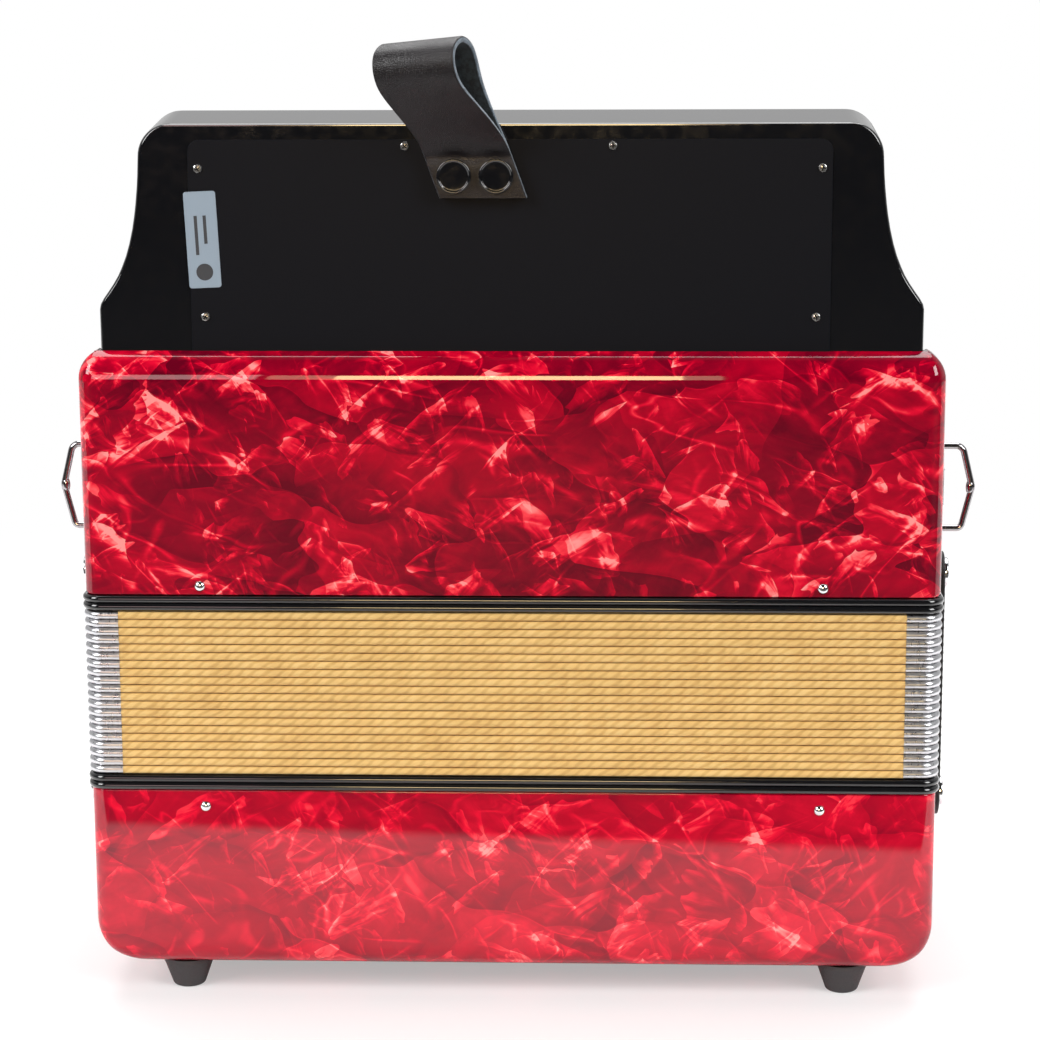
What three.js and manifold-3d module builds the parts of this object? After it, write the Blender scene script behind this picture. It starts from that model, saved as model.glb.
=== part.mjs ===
// A small two-row diatonic button accordion with closed bellows, standing on the feet of its bass end.
// Millimetres. X runs along the casings, Y from the player's side to the front, Z up through the bellows.
// While it is drawn, y = 0 is the back of the casings and z = 0 the floor; the last lines centre the model.
import * as THREE from "three";
import { mergeVertices } from "three/addons/utils/BufferGeometryUtils.js";
import Module from "manifold-3d";

const wasm = await Module();
wasm.setup();

// ---------- driving dimensions ----------
const GAP = 0.3; // between pieces that touch
const HALF = 159; // half the casings' length
const DEPTH = 185; // back to front
const WALL = 7;
const CORNER = 6; // the casings' upright edges
const BEAD = 1.3; // how far the bellows frames stand proud
const FRAME_HEIGHT = 5.8;
const FOLDS = 20;
const FOLD_PITCH = 3.14;
const FOLD_DEPTH = 11;

const FLOOR_GAP = 12.2; // the bass end above the floor
const BASS_TOP = 82.3;
const BASS_FRAME = BASS_TOP + GAP;
const BELLOWS = BASS_FRAME + FRAME_HEIGHT + GAP;
const TREBLE_FRAME = BELLOWS + FOLDS * FOLD_PITCH + GAP;
const TREBLE = TREBLE_FRAME + FRAME_HEIGHT + GAP;
const TREBLE_TOP = 249.5;

const BEVEL = 34; // the slanted bass button face, measured along Y and Z
const SLOPE = Math.tan(THREE.MathUtils.degToRad(11.5)); // fall of the treble top towards the front
const SLOPE_START = 14;
const FRONT_CURVE = 28;
const GRILLE_BOTTOM = 190;

const BOARD = { back: 7, base: 52, middle: 44.5, free: 37, bottom: 212, top: 331, topFront: 334.5 };
const BOARD_HALF = 112; // half of the hollow that holds the levers
const ROWS = {
  outer: { count: 11, z: 317, face: BOARD.free, palletY: 140 },
  inner: { count: 10, z: 291, face: BOARD.middle, palletY: 95 },
};
const KEY_PITCH = 19.5;
const AXLE = { y: 24, z: 230, r: 1.4, hole: 1.9 };
const SOUNDBOARD = { bottom: 198, top: 202 };

const BASS_BUTTON = { pitch: 17, row: 17, columns: 4, stem: 4, hole: 4.4, cap: 5.6, lift: 3.4 };
const AIR_BUTTON = { x: 96, stem: 4.5, hole: 6, cap: 7.5, lift: 5.6 };

const SIDE_Y = 34; // bellows straps, from the back
const RING = { y: 50, bottom: 174, top: 206, hingeX: HALF + 3.1, cornerX: 171.5, kneeX: 175, wire: 1.2 };
const STRAP_RIVET_Z = 160.3;

// ---------- materials ----------
const finish = (color, roughness, metalness = 0) =>
  new THREE.MeshStandardMaterial({ color, roughness, metalness, flatShading: true });
const redPearl = finish(0xb0081e, 0.12);
const blackGloss = finish(0x0c0c0e, 0.18);
const blackSatin = finish(0x15171a, 0.45);
const goldCloth = finish(0xd9a94c, 0.7);
const chrome = finish(0xd8dade, 0.12, 1);
const leather = finish(0x1d1a1b, 0.5);
const rubber = finish(0x2a2829, 0.8);
const wood = finish(0xb98a56, 0.6);
const steel = finish(0x9fa3a8, 0.3, 1);
const buttonWhite = finish(0xece8dd, 0.2);

// ---------- solids ----------
// A closed geometry as a manifold solid that faces outwards.
function solid(geometry) {
  const bare = new THREE.BufferGeometry();
  const flat = geometry.index ? geometry.toNonIndexed() : geometry;
  bare.setAttribute("position", flat.getAttribute("position").clone());
  const merged = mergeVertices(bare, 1e-4);
  const p = merged.getAttribute("position").array;
  const index = merged.index.array;
  const triangles = [];
  let volume = 0;
  for (let i = 0; i < index.length; i += 3) {
    const [a, b, c] = [index[i], index[i + 1], index[i + 2]];
    if (a === b || b === c || a === c) continue;
    triangles.push([a, b, c]);
    const [u, v, w] = [a, b, c].map((k) => new THREE.Vector3().fromArray(p, 3 * k));
    volume += u.dot(v.cross(w));
  }
  const triVerts = new Uint32Array(triangles.flatMap(([a, b, c]) => (volume < 0 ? [a, c, b] : [a, b, c])));
  return new wasm.Manifold(new wasm.Mesh({ numProp: 3, vertProperties: p, triVerts }));
}

const cut = (body, ...tools) => tools.reduce((left, tool) => left.subtract(tool), body);
const join = (...bodies) => bodies.reduce((left, right) => left.add(right));
const common = (...bodies) => bodies.reduce((left, right) => left.intersect(right));

function geometryOf(body) {
  const mesh = body.getMesh();
  return new THREE.BufferGeometry()
    .setAttribute("position", new THREE.BufferAttribute(Float32Array.from(mesh.vertProperties), 3))
    .setIndex(new THREE.BufferAttribute(mesh.triVerts, 1));
}

// Corners [x, y, radius] of a closed outline, each rounded by its radius.
function rounded(corners, steps = 4) {
  return corners.flatMap(([x, y, r = 0], i) => {
    const here = new THREE.Vector2(x, y);
    if (!r) return [here];
    const [ax, ay] = corners.at(i - 1);
    const [bx, by] = corners[(i + 1) % corners.length];
    const toBefore = new THREE.Vector2(ax, ay).sub(here).normalize();
    const toAfter = new THREE.Vector2(bx, by).sub(here).normalize();
    const half = Math.acos(toBefore.dot(toAfter)) / 2;
    const middle = toBefore.clone().add(toAfter).normalize();
    const centre = here.clone().addScaledVector(middle, r / Math.sin(half));
    const start = here.clone().addScaledVector(toBefore, r / Math.tan(half)).sub(centre);
    const end = here.clone().addScaledVector(toAfter, r / Math.tan(half)).sub(centre);
    const turn = Math.atan2(start.cross(end), start.dot(end));
    return Array.from({ length: steps + 1 }, (_, k) =>
      start.clone().rotateAround(new THREE.Vector2(), (turn * k) / steps).add(centre),
    );
  });
}

const rectangle = (x0, y0, x1, y1, r = 0) => [[x0, y0, r], [x1, y0, r], [x1, y1, r], [x0, y1, r]];

function prism(points, depth, basis, origin) {
  const shape = new THREE.Shape(points);
  const geometry = new THREE.ExtrudeGeometry(shape, { depth, bevelEnabled: false });
  const matrix = new THREE.Matrix4().makeBasis(...basis).setPosition(...origin);
  return solid(geometry.applyMatrix4(matrix));
}
const [EX, EY, EZ] = [0, 1, 2].map((k) => new THREE.Vector3().setComponent(k, 1));
// Outlines drawn as (y, z), (x, z) and (x, y), pushed through along the remaining axis.
const alongX = (points, x0, x1) => prism(points, x1 - x0, [EY, EZ, EX], [x0, 0, 0]);
const alongY = (points, y0, y1) => prism(points, y1 - y0, [EX, EZ, EY.clone().negate()], [0, y1, 0]);
const alongZ = (points, z0, z1) => prism(points, z1 - z0, [EX, EY, EZ], [0, 0, z0]);
const block = (x0, x1, y0, y1, z0, z1) => alongZ(rounded(rectangle(x0, y0, x1, y1)), z0, z1);

// A turned solid from [radius, height] pairs that start and end on the axis, standing along `axis`.
function turned(pairs, sides, axis = EZ, at = [0, 0, 0]) {
  const geometry = new THREE.LatheGeometry(pairs.map(([r, h]) => new THREE.Vector2(r, h)), sides);
  const lift = new THREE.Quaternion().setFromUnitVectors(EY, axis.clone().normalize());
  return solid(geometry.applyQuaternion(lift).translate(...at));
}
const rod = (r, from, to, sides, axis, at) =>
  turned([[0, from], [r, from], [r, to], [0, to]], sides, axis, at);

// A closed section of [inset, z] pairs carried round the casings' plan.
function aroundPlan(section, steps = 3) {
  const rings = section.map(([inset, z]) => {
    const r = Math.max(CORNER - inset, 1);
    const plan = rectangle(-HALF + inset, inset, HALF - inset, DEPTH - inset, r);
    return rounded(plan, steps).map(({ x, y }) => new THREE.Vector3(x, y, z));
  });
  return closedTube(rings);
}

// Rings of equal length, joined each to the next and the last to the first.
function closedTube(rings) {
  const points = [];
  rings.forEach((ring, i) => {
    const next = rings[(i + 1) % rings.length];
    ring.forEach((a, j) => {
      const k = (j + 1) % ring.length;
      points.push(a, ring[k], next[k], a, next[k], next[j]);
    });
  });
  return solid(new THREE.BufferGeometry().setFromPoints(points));
}

// ---------- the model ----------
const accordion = new THREE.Group();
function add(name, body, material) {
  const mesh = new THREE.Mesh(geometryOf(body), material);
  mesh.name = name;
  accordion.add(mesh);
}
const mirrored = [["left", -1], ["right", 1]];

// ---------- bass end ----------
const BEVEL_NORMAL = new THREE.Vector3(0, 1, -1).normalize();
const BEVEL_UP = new THREE.Vector3(0, 1, 1).normalize();
const bevelCentre = new THREE.Vector3(0, DEPTH - BEVEL / 2, FLOOR_GAP + BEVEL / 2);
const END_PLATE = { half: 120, y0: 32, y1: 114, thick: 3, ledge: 8 };

// Where a button's axis meets the slanted face: `x` along it, `up` across it.
const onBevel = (x, up) => bevelCentre.clone().addScaledVector(BEVEL_UP, up).setX(x);

const bassButtons = [];
for (let row = 0; row < 2; row++) {
  for (let column = 0; column < BASS_BUTTON.columns; column++) {
    const stagger = row ? BASS_BUTTON.pitch / 4 : -BASS_BUTTON.pitch / 4;
    const x = (column - (BASS_BUTTON.columns - 1) / 2) * BASS_BUTTON.pitch + stagger;
    bassButtons.push(onBevel(x, (row - 0.5) * BASS_BUTTON.row));
  }
}
const airButton = onBevel(AIR_BUTTON.x, 0);

function bassCasing() {
  const front = rectangle(-HALF, FLOOR_GAP, HALF, BASS_TOP);
  front[0][2] = front[1][2] = 18;
  const side = [
    [0, BASS_TOP], [0, FLOOR_GAP, 8], [DEPTH - BEVEL, FLOOR_GAP, 3], [DEPTH, FLOOR_GAP + BEVEL, 3], [DEPTH, BASS_TOP],
  ];
  const outer = common(
    alongY(rounded(front), 0, DEPTH),
    alongX(rounded(side), -HALF, HALF),
    alongZ(rounded(rectangle(-HALF, 0, HALF, DEPTH, CORNER)), FLOOR_GAP, BASS_TOP),
  );
  const slant = WALL * Math.SQRT2; // how far the slanted wall reaches along Y and Z
  const floor = FLOOR_GAP + WALL;
  const hollow = [
    [WALL, BASS_TOP + 1], [WALL, floor], [DEPTH - BEVEL - slant + WALL, floor],
    [DEPTH - WALL, FLOOR_GAP + BEVEL + slant - WALL], [DEPTH - WALL, BASS_TOP + 1],
  ];
  const { half, y0, y1, thick, ledge } = END_PLATE;
  const holes = bassButtons.map((at) => rod(BASS_BUTTON.hole, -15, 5, 12, BEVEL_NORMAL, at.toArray()));
  return cut(
    outer,
    alongX(rounded(hollow), -HALF + WALL, HALF - WALL),
    block(-half, half, y0, y1, FLOOR_GAP - 1, FLOOR_GAP + thick + GAP),
    block(-half + ledge, half - ledge, y0 + ledge, y1 - ledge, FLOOR_GAP, floor + 1),
    ...holes,
    rod(AIR_BUTTON.hole, -15, 5, 12, BEVEL_NORMAL, airButton.toArray()),
  );
}

function bassReedBlock() {
  const board = block(-HALF + WALL + GAP, HALF - WALL - GAP, WALL + GAP, DEPTH - WALL - GAP, 54, 58);
  const chambers = [];
  for (let i = 0; i < 8; i++) {
    const x = (i - 3.5) * 17;
    chambers.push(block(x - 6, x + 6, 76, 100, 50, 75));
  }
  const vent = block(AIR_BUTTON.x - 14, AIR_BUTTON.x + 14, 120, 160, 50, 60);
  return cut(join(board, block(-72, 72, 72, 104, 57, 79)), ...chambers, vent);
}

// A mushroom button whose axis points out of the slanted face.
function slantedButton({ stem, cap, lift }, height, at, inner) {
  const top = lift + height;
  return turned(
    [[0, -inner], [stem, -inner], [stem, lift], [cap, lift], [cap, top - 1.2], [cap - 1.4, top], [0, top]],
    12, BEVEL_NORMAL, at.toArray(),
  );
}

const STRAP_WIDTH = 60;
const STRAP_MIDDLE_Y = 78;
const STRAP_HALF = 137;
const HAND_STRAP_THICK = 3;
// The hand strap's upper side: flat under the clamps, then bowed down towards the floor.
function handStrapTop(x) {
  const t = THREE.MathUtils.smoothstep(123 - Math.abs(x), 0, 50);
  return FLOOR_GAP - GAP - 7.8 * t;
}

function handStrap() {
  const xs = [STRAP_HALF, 123, 113, 103, 93, 83, 73];
  const across = [...xs.map((x) => -x), ...[...xs].reverse()];
  const upper = across.map((x) => new THREE.Vector2(x, handStrapTop(x)));
  const lower = across.map((x) => new THREE.Vector2(x, handStrapTop(x) - HAND_STRAP_THICK)).reverse();
  return alongY([...upper, ...lower], STRAP_MIDDLE_Y - STRAP_WIDTH / 2, STRAP_MIDDLE_Y + STRAP_WIDTH / 2);
}

function handStrapClamp(side) {
  const top = FLOOR_GAP - 2 * GAP - HAND_STRAP_THICK;
  const reach = STRAP_WIDTH / 2 + 2;
  const plan = rectangle(side * 131 - 4.5, STRAP_MIDDLE_Y - reach, side * 131 + 4.5, STRAP_MIDDLE_Y + reach, 3);
  return alongZ(rounded(plan, 3), top - 1.6, top);
}

const foot = (x, y) =>
  turned([[0, 0], [5.6, 0], [6.8, 1.4], [9.8, 10], [9.8, FLOOR_GAP - GAP], [0, FLOOR_GAP - GAP]], 20, EZ, [x, y, 0]);

add("bass_casing", bassCasing(), redPearl);
add("bass_end_plate", alongZ(
  rounded(rectangle(-END_PLATE.half + GAP, END_PLATE.y0 + GAP, END_PLATE.half - GAP, END_PLATE.y1 - GAP, 4), 2),
  FLOOR_GAP, FLOOR_GAP + END_PLATE.thick,
), blackSatin);
add("bass_reed_block", bassReedBlock(), wood);
bassButtons.forEach((at, i) => add(`bass_button_${i + 1}`, slantedButton(BASS_BUTTON, 3.4, at, 16), buttonWhite));
const valve = rod(11, -WALL - 4, -WALL - 0.4, 16, BEVEL_NORMAL, airButton.toArray());
add("air_button", join(slantedButton(AIR_BUTTON, 4, airButton, WALL + 3), valve), buttonWhite);
add("hand_strap", handStrap(), leather);
for (const [side, sign] of mirrored) {
  add(`hand_strap_clamp_${side}`, handStrapClamp(sign), chrome);
  add(`foot_back_${side}`, foot(sign * 126, 16), rubber);
  add(`foot_front_${side}`, foot(sign * 126, 130), rubber);
}

// ---------- bellows ----------
// Two half-round beads round the outside of a flat frame.
function bellowsFrame(bottom) {
  const beads = [];
  const r = FRAME_HEIGHT / 4;
  for (let bead = 0; bead < 2; bead++) {
    for (let k = 0; k <= 4; k++) {
      const angle = (Math.PI * k) / 4 - Math.PI / 2;
      if (bead && !k) continue;
      beads.push([r - BEAD - r * Math.cos(angle), bottom + r * (1 + 2 * bead) + r * Math.sin(angle)]);
    }
  }
  return aroundPlan([...beads, [16, bottom + FRAME_HEIGHT], [16, bottom]]);
}

function bellows() {
  const section = [];
  for (let i = 0; i < FOLDS; i++) {
    section.push([FOLD_DEPTH, BELLOWS + i * FOLD_PITCH], [-0.8, BELLOWS + (i + 0.5) * FOLD_PITCH]);
  }
  const top = BELLOWS + FOLDS * FOLD_PITCH;
  return aroundPlan([...section, [FOLD_DEPTH, top], [18, top], [18, BELLOWS]]);
}

add("bass_bellows_frame", bellowsFrame(BASS_FRAME), blackGloss);
add("bellows", bellows(), goldCloth);
add("treble_bellows_frame", bellowsFrame(TREBLE_FRAME), blackGloss);

// ---------- treble end ----------
const slopeZ = (y) => TREBLE_TOP - (y - SLOPE_START) * SLOPE;
const INNER_HALF = HALF - WALL;

function trebleCasing() {
  const front = rectangle(-HALF, TREBLE, HALF, TREBLE_TOP);
  front[2][2] = front[3][2] = 13;
  const side = [
    [0, TREBLE], [DEPTH, TREBLE], [DEPTH, slopeZ(DEPTH), FRONT_CURVE], [SLOPE_START, TREBLE_TOP, 20], [0, TREBLE_TOP, 10],
  ];
  const outer = common(
    alongY(rounded(front), 0, DEPTH),
    alongX(rounded(side, 6), -HALF, HALF),
    alongZ(rounded(rectangle(-HALF, 0, HALF, DEPTH, CORNER)), TREBLE, TREBLE_TOP),
  );
  const above = TREBLE_TOP + 10;
  return cut(
    outer,
    block(-INNER_HALF, INNER_HALF, WALL, DEPTH - WALL, TREBLE - 1, above),
    block(-INNER_HALF, INNER_HALF, BOARD.back - GAP, DEPTH, 205, above),
    block(-INNER_HALF, INNER_HALF, BOARD.base, DEPTH + 1, GRILLE_BOTTOM, above),
  );
}

// Half of the fingerboard's front outline, from its foot up: straight, an S-shaped shoulder, a flared edge.
const shoulder = new THREE.CubicBezierCurve(
  new THREE.Vector2(150.7, 264.5), new THREE.Vector2(145, 271), new THREE.Vector2(139.8, 278), new THREE.Vector2(137.6, 291),
);
function boardOutline() {
  const right = [
    [150.7, BOARD.bottom], ...shoulder.getPoints(7).map(({ x, y }) => [x, y]), [133.8, BOARD.topFront, 12],
  ];
  return [...right, ...right.map(([x, z, r]) => [-x, z, r]).reverse()];
}

const PLATE = { half: 116.7, bottom: 226.3, top: 325.4, thick: 2.5 };

const keyXs = (row) => Array.from({ length: row.count }, (_, i) => (i - (row.count - 1) / 2) * KEY_PITCH);

function fingerboard() {
  const stepLow = 279;
  const stepHigh = 303.5;
  const side = [
    [BOARD.back, BOARD.bottom], [BOARD.base, BOARD.bottom], [BOARD.base, stepLow, 1.5], [BOARD.middle, stepLow],
    [BOARD.middle, stepHigh, 1.5], [BOARD.free, stepHigh], [BOARD.free, BOARD.topFront, 2], [BOARD.back, BOARD.top, 1.5],
  ];
  const skin = 4;
  const low = BOARD.bottom - 5;
  const hollow = [
    [BOARD.back + PLATE.thick + GAP, low], [BOARD.base - skin, low], [BOARD.base - skin, stepLow - skin],
    [BOARD.middle - skin, stepLow - skin], [BOARD.middle - skin, stepHigh - skin], [BOARD.free - skin, stepHigh - skin],
    [BOARD.free - skin, 322], [BOARD.back + PLATE.thick + GAP, 322],
  ].map(([y, z]) => new THREE.Vector2(y, z));
  const holes = Object.values(ROWS).flatMap((row) =>
    keyXs(row).map((x) => rod(4.6, row.face - 2 * skin, row.face + 1, 12, EY, [x, 0, row.z])),
  );
  const recess = rectangle(-PLATE.half - GAP, PLATE.bottom - GAP, PLATE.half + GAP, PLATE.top + GAP);
  recess[2][2] = recess[3][2] = 5;
  return cut(
    common(alongY(rounded(boardOutline()), BOARD.back, BOARD.base + 1), alongX(rounded(side, 3), -HALF, HALF)),
    alongX(hollow, -BOARD_HALF, BOARD_HALF),
    alongY(rounded(recess), BOARD.back - 1, BOARD.back + PLATE.thick + GAP),
    block(-BOARD_HALF, BOARD_HALF, BOARD.base - 2 * skin, BOARD.base + 2, low, 224),
    block(-BOARD_HALF, BOARD_HALF, BOARD.back + 2, BOARD.back + 9, PLATE.bottom + 3, 322),
    rod(AXLE.hole, -118, 118, 8, EX, [0, AXLE.y, AXLE.z]),
    ...holes,
  );
}

function backPlate() {
  const outline = rectangle(-PLATE.half, PLATE.bottom, PLATE.half, PLATE.top);
  outline[2][2] = outline[3][2] = 5;
  return alongY(rounded(outline), BOARD.back, BOARD.back + PLATE.thick);
}

// One rocker: the button on its upright arm, the axle boss and the pallet at the end of the level arm.
function key(row, x) {
  const { y, z } = AXLE;
  const armTop = SOUNDBOARD.top + 9.5;
  const lever = [
    [y - 2.5, row.z + 4], [y + 2.5, row.z + 4], [y + 2.5, z + 6], [y + 4.5, z + 3], [y + 20, armTop],
    [row.palletY + 8, armTop], [row.palletY + 8, armTop - 4.5], [y + 17, armTop - 4.5], [y + 2, z - 4.5],
    [y - 4, z - 4.5], [y - 4.5, z + 3], [y - 2.5, z + 6],
  ].map(([a, b]) => new THREE.Vector2(a, b));
  const low = row.face + 4.3;
  const button = turned(
    [[0, y + 1], [3, y + 1], [3, low], [6.4, low], [6.4, low + 3], [5.2, low + 4.2], [0, low + 4.7]],
    12, EY, [x, 0, row.z],
  );
  const pallet = block(x - 6.5, x + 6.5, row.palletY - 14, row.palletY + 14, SOUNDBOARD.top + GAP, armTop - 4);
  const strip = cut(alongX(lever, x - 1.5, x + 1.5), rod(AXLE.hole, x - 3, x + 3, 8, EX, [0, y, z]));
  return join(strip, button, pallet);
}

function trebleSoundboard() {
  const half = INNER_HALF - GAP;
  const board = block(-half, half, WALL + GAP, DEPTH - WALL - GAP, SOUNDBOARD.bottom, SOUNDBOARD.top);
  const holes = Object.values(ROWS).flatMap((row) =>
    keyXs(row).map((x) => block(x - 4.5, x + 4.5, row.palletY - 11, row.palletY + 11, SOUNDBOARD.bottom - 1, SOUNDBOARD.top + 1)),
  );
  return cut(board, ...holes);
}

function trebleReedBlock(row) {
  const top = SOUNDBOARD.bottom - GAP;
  const chambers = keyXs(row).map((x) => block(x - 7, x + 7, row.palletY - 9, row.palletY + 9, 172, top + 1));
  const reach = (row.count * KEY_PITCH) / 2 + 2;
  return cut(block(-reach, reach, row.palletY - 13, row.palletY + 13, 167, top), ...chambers);
}

const GRILLE = { thick: 3, slotRows: [78, 104, 130], slotHalf: 6, slotFrom: 7, slotTo: 137 };
function grille() {
  const back = BOARD.base + 2 * GAP;
  const { thick, slotHalf, slotFrom, slotTo } = GRILLE;
  const side = [
    [back, slopeZ(back)], [DEPTH, slopeZ(DEPTH), FRONT_CURVE], [DEPTH, GRILLE_BOTTOM + GAP],
    [DEPTH - thick, GRILLE_BOTTOM + GAP], [DEPTH - thick, slopeZ(DEPTH) - thick * 0.82, FRONT_CURVE - thick],
    [back, slopeZ(back) - thick],
  ];
  const slots = GRILLE.slotRows.flatMap((y) =>
    [-slotTo, slotFrom].map((x) => {
      const outline = rectangle(x, y - slotHalf, x + slotTo - slotFrom, y + slotHalf, slotHalf - 0.01);
      return alongZ(rounded(outline), GRILLE_BOTTOM, TREBLE_TOP);
    }),
  );
  return cut(alongX(rounded(side, 6), -INNER_HALF + GAP, INNER_HALF - GAP), ...slots);
}

// ---------- thumb strap ----------
// Drawn upright: out = away from the back plate, up = height over the snaps, then twisted and leant to its place.
const THUMB = { x: -12, snapZ: 312.6, width: 31.5, thick: 2.6, lean: 0.36, twist: THREE.MathUtils.degToRad(22) };
const SNAP_SPACING = 15.2;
const loopLine = [
  [4, 8], [9, 15], [18, 25], [26, 36], [25, 44], [17, 47.5], [9.5, 44], [6.4, 34], [4.4, 22], [2.4, 8],
];

function placeThumbStrap(v) {
  const [across, out, up] = v.toArray();
  const angle = THUMB.twist * THREE.MathUtils.smoothstep(up, 8, 34);
  const past = Math.max(up - 16, 0);
  const lean = THUMB.lean * up - (0.26 * past * past) / (past + 12);
  return v.set(
    THUMB.x + across * Math.cos(angle) - out * Math.sin(angle) - lean,
    BOARD.back - out * Math.cos(angle) - across * Math.sin(angle),
    THUMB.snapZ + up + across * 0.1 * THREE.MathUtils.smoothstep(up, 8, 34),
  );
}

function thumbStrap() {
  const curve = new THREE.SplineCurve(loopLine.map(([out, up]) => new THREE.Vector2(out, up)));
  const stations = 36;
  const side = (offset) =>
    Array.from({ length: stations + 1 }, (_, k) => {
      const along = curve.getTangent(k / stations);
      return curve.getPoint(k / stations).add(new THREE.Vector2(along.y, -along.x).multiplyScalar(offset));
    });
  const band = [...side(THUMB.thick / 2), ...side(-THUMB.thick / 2).reverse()];
  const half = THUMB.width / 2;
  const loop = alongX(band, -half, half);
  const tail = block(-half, half, GAP, 2 * THUMB.thick + GAP, -8, 10);
  const geometry = geometryOf(join(loop, tail));
  const position = geometry.getAttribute("position");
  for (let i = 0; i < position.count; i++) {
    position.setXYZ(i, ...placeThumbStrap(new THREE.Vector3().fromBufferAttribute(position, i)).toArray());
  }
  return solid(geometry);
}

const snapCap = (x) =>
  turned([[0, 0], [6.3, 0], [6.3, 1.2], [5.4, 2], [0, 2.4]], 20, EY.clone().negate(),
    [x, BOARD.back - 2 * THUMB.thick - 2 * GAP, THUMB.snapZ]);

// ---------- strap brackets, rings and bellows straps ----------
function strapBracket(sign) {
  const plan = rectangle(RING.y - 8, RING.bottom - 3, RING.y + 8, RING.top + 3, 3);
  const [x0, x1] = [HALF + GAP, HALF + GAP + 1.2].map((x) => sign * x).sort((a, b) => a - b);
  const middle = (RING.bottom + RING.top) / 2;
  const at = [sign * RING.hingeX, RING.y, middle];
  const barrel = rod(2.5, -7, 7, 12, EZ, at);
  return cut(join(alongX(rounded(plan, 2), x0, x1), barrel), rod(1.6, -9, 9, 10, EZ, at));
}

// A closed wire loop in the XZ plane: its straight side runs through the bracket's barrel.
function strapRing(sign) {
  const { y, bottom, top, hingeX, cornerX, kneeX, wire } = RING;
  const middle = (bottom + top) / 2;
  const loop = rounded([[hingeX, bottom, 2], [cornerX, bottom, 2], [kneeX, middle, 5], [cornerX, top, 2], [hingeX, top, 2]], 3);
  const sides = 8;
  const rings = loop.map((here, i) => {
    const along = loop[(i + 1) % loop.length].clone().sub(loop.at(i - 1)).normalize();
    return Array.from({ length: sides }, (_, k) => {
      const angle = (2 * Math.PI * (k + 0.5)) / sides;
      const out = wire * Math.cos(angle);
      const x = here.x + along.y * out;
      return new THREE.Vector3(sign * x, y + wire * Math.sin(angle), here.y - along.x * out);
    });
  });
  return closedTube(rings);
}

function bellowsStrap(sign) {
  const r = 8;
  const plan = rounded(rectangle(SIDE_Y - r, 65, SIDE_Y + r, STRAP_RIVET_Z + r, r - 0.01), 5);
  const place = (a, b) => [sign * (HALF + a), sign * (HALF + b)].sort((p, q) => p - q);
  const outwards = EX.clone().multiplyScalar(sign);
  const caps = [STRAP_RIVET_Z, 74].map((z) =>
    turned([[0, 3], [5.4, 3], [5.4, 5.2], [4.2, 6.2], [0, 6.5]], 14, outwards, [sign * HALF, SIDE_Y, z]),
  );
  return join(alongX(plan, ...place(1.7, 4.1)), ...caps);
}

// ---------- the treble end put together ----------
add("treble_casing", trebleCasing(), redPearl);
add("treble_soundboard", trebleSoundboard(), wood);
add("treble_reed_block_outer", trebleReedBlock(ROWS.outer), wood);
add("treble_reed_block_inner", trebleReedBlock(ROWS.inner), wood);
add("fingerboard", fingerboard(), blackGloss);
add("fingerboard_back_plate", backPlate(), blackSatin);
add("key_axle", rod(AXLE.r, -116, 116, 8, EX, [0, AXLE.y, AXLE.z]), steel);
for (const [name, row] of Object.entries(ROWS)) {
  keyXs(row).forEach((x, i) => add(`key_${name}_${i + 1}`, key(row, x), buttonWhite));
}
add("grille", grille(), chrome);
add("thumb_strap", thumbStrap(), leather);
for (const [side, sign] of mirrored) {
  add(`thumb_strap_snap_${side}`, snapCap(THUMB.x + (sign * SNAP_SPACING) / 2), blackGloss);
  add(`strap_bracket_${side}`, strapBracket(sign), chrome);
  add(`strap_ring_${side}`, strapRing(sign), chrome);
  add(`bellows_strap_${side}`, bellowsStrap(sign), leather);
}

// The origin is the middle of the whole accordion's footprint, on the floor.
const box = new THREE.Box3().setFromObject(accordion);
const centre = box.getCenter(new THREE.Vector3());
accordion.position.set(-centre.x, -centre.y, -box.min.z);

export default accordion;
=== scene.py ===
"""Looks of a two-row diatonic button accordion: pearl celluloid casings, gold bellows and black fingerboard.

Shapes are drawn in millimetres: x from the middle, y from the casings' back plane, z from the floor.
"""
from math import asin, atan2, cos, hypot, pi, radians, sin, sqrt, tan

import bmesh
import bpy
from mathutils import Matrix, Vector


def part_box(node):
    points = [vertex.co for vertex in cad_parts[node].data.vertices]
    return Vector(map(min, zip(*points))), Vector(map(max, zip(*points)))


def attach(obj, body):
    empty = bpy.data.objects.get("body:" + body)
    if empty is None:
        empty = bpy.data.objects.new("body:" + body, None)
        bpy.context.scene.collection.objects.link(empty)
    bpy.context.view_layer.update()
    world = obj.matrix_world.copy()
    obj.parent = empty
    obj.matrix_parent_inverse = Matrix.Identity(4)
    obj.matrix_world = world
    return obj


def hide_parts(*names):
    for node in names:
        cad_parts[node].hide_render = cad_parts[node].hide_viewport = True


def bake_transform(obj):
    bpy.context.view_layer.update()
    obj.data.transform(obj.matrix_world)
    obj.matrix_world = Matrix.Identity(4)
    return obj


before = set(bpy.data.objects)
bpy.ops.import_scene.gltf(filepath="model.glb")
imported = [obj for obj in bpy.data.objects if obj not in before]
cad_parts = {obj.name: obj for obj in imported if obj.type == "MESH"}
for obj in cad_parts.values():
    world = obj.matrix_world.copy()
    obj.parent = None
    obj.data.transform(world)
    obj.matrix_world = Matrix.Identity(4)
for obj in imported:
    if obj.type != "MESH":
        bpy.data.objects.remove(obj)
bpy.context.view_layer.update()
scene = bpy.context.scene

MM = 0.001
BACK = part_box("treble_casing")[0].y  # the casings' back plane
X, Y, Z = Vector((1, 0, 0)), Vector((0, 1, 0)), Vector((0, 0, 1))


def at(x, y, z):
    return Vector((x * MM, y * MM + BACK, z * MM))


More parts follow.
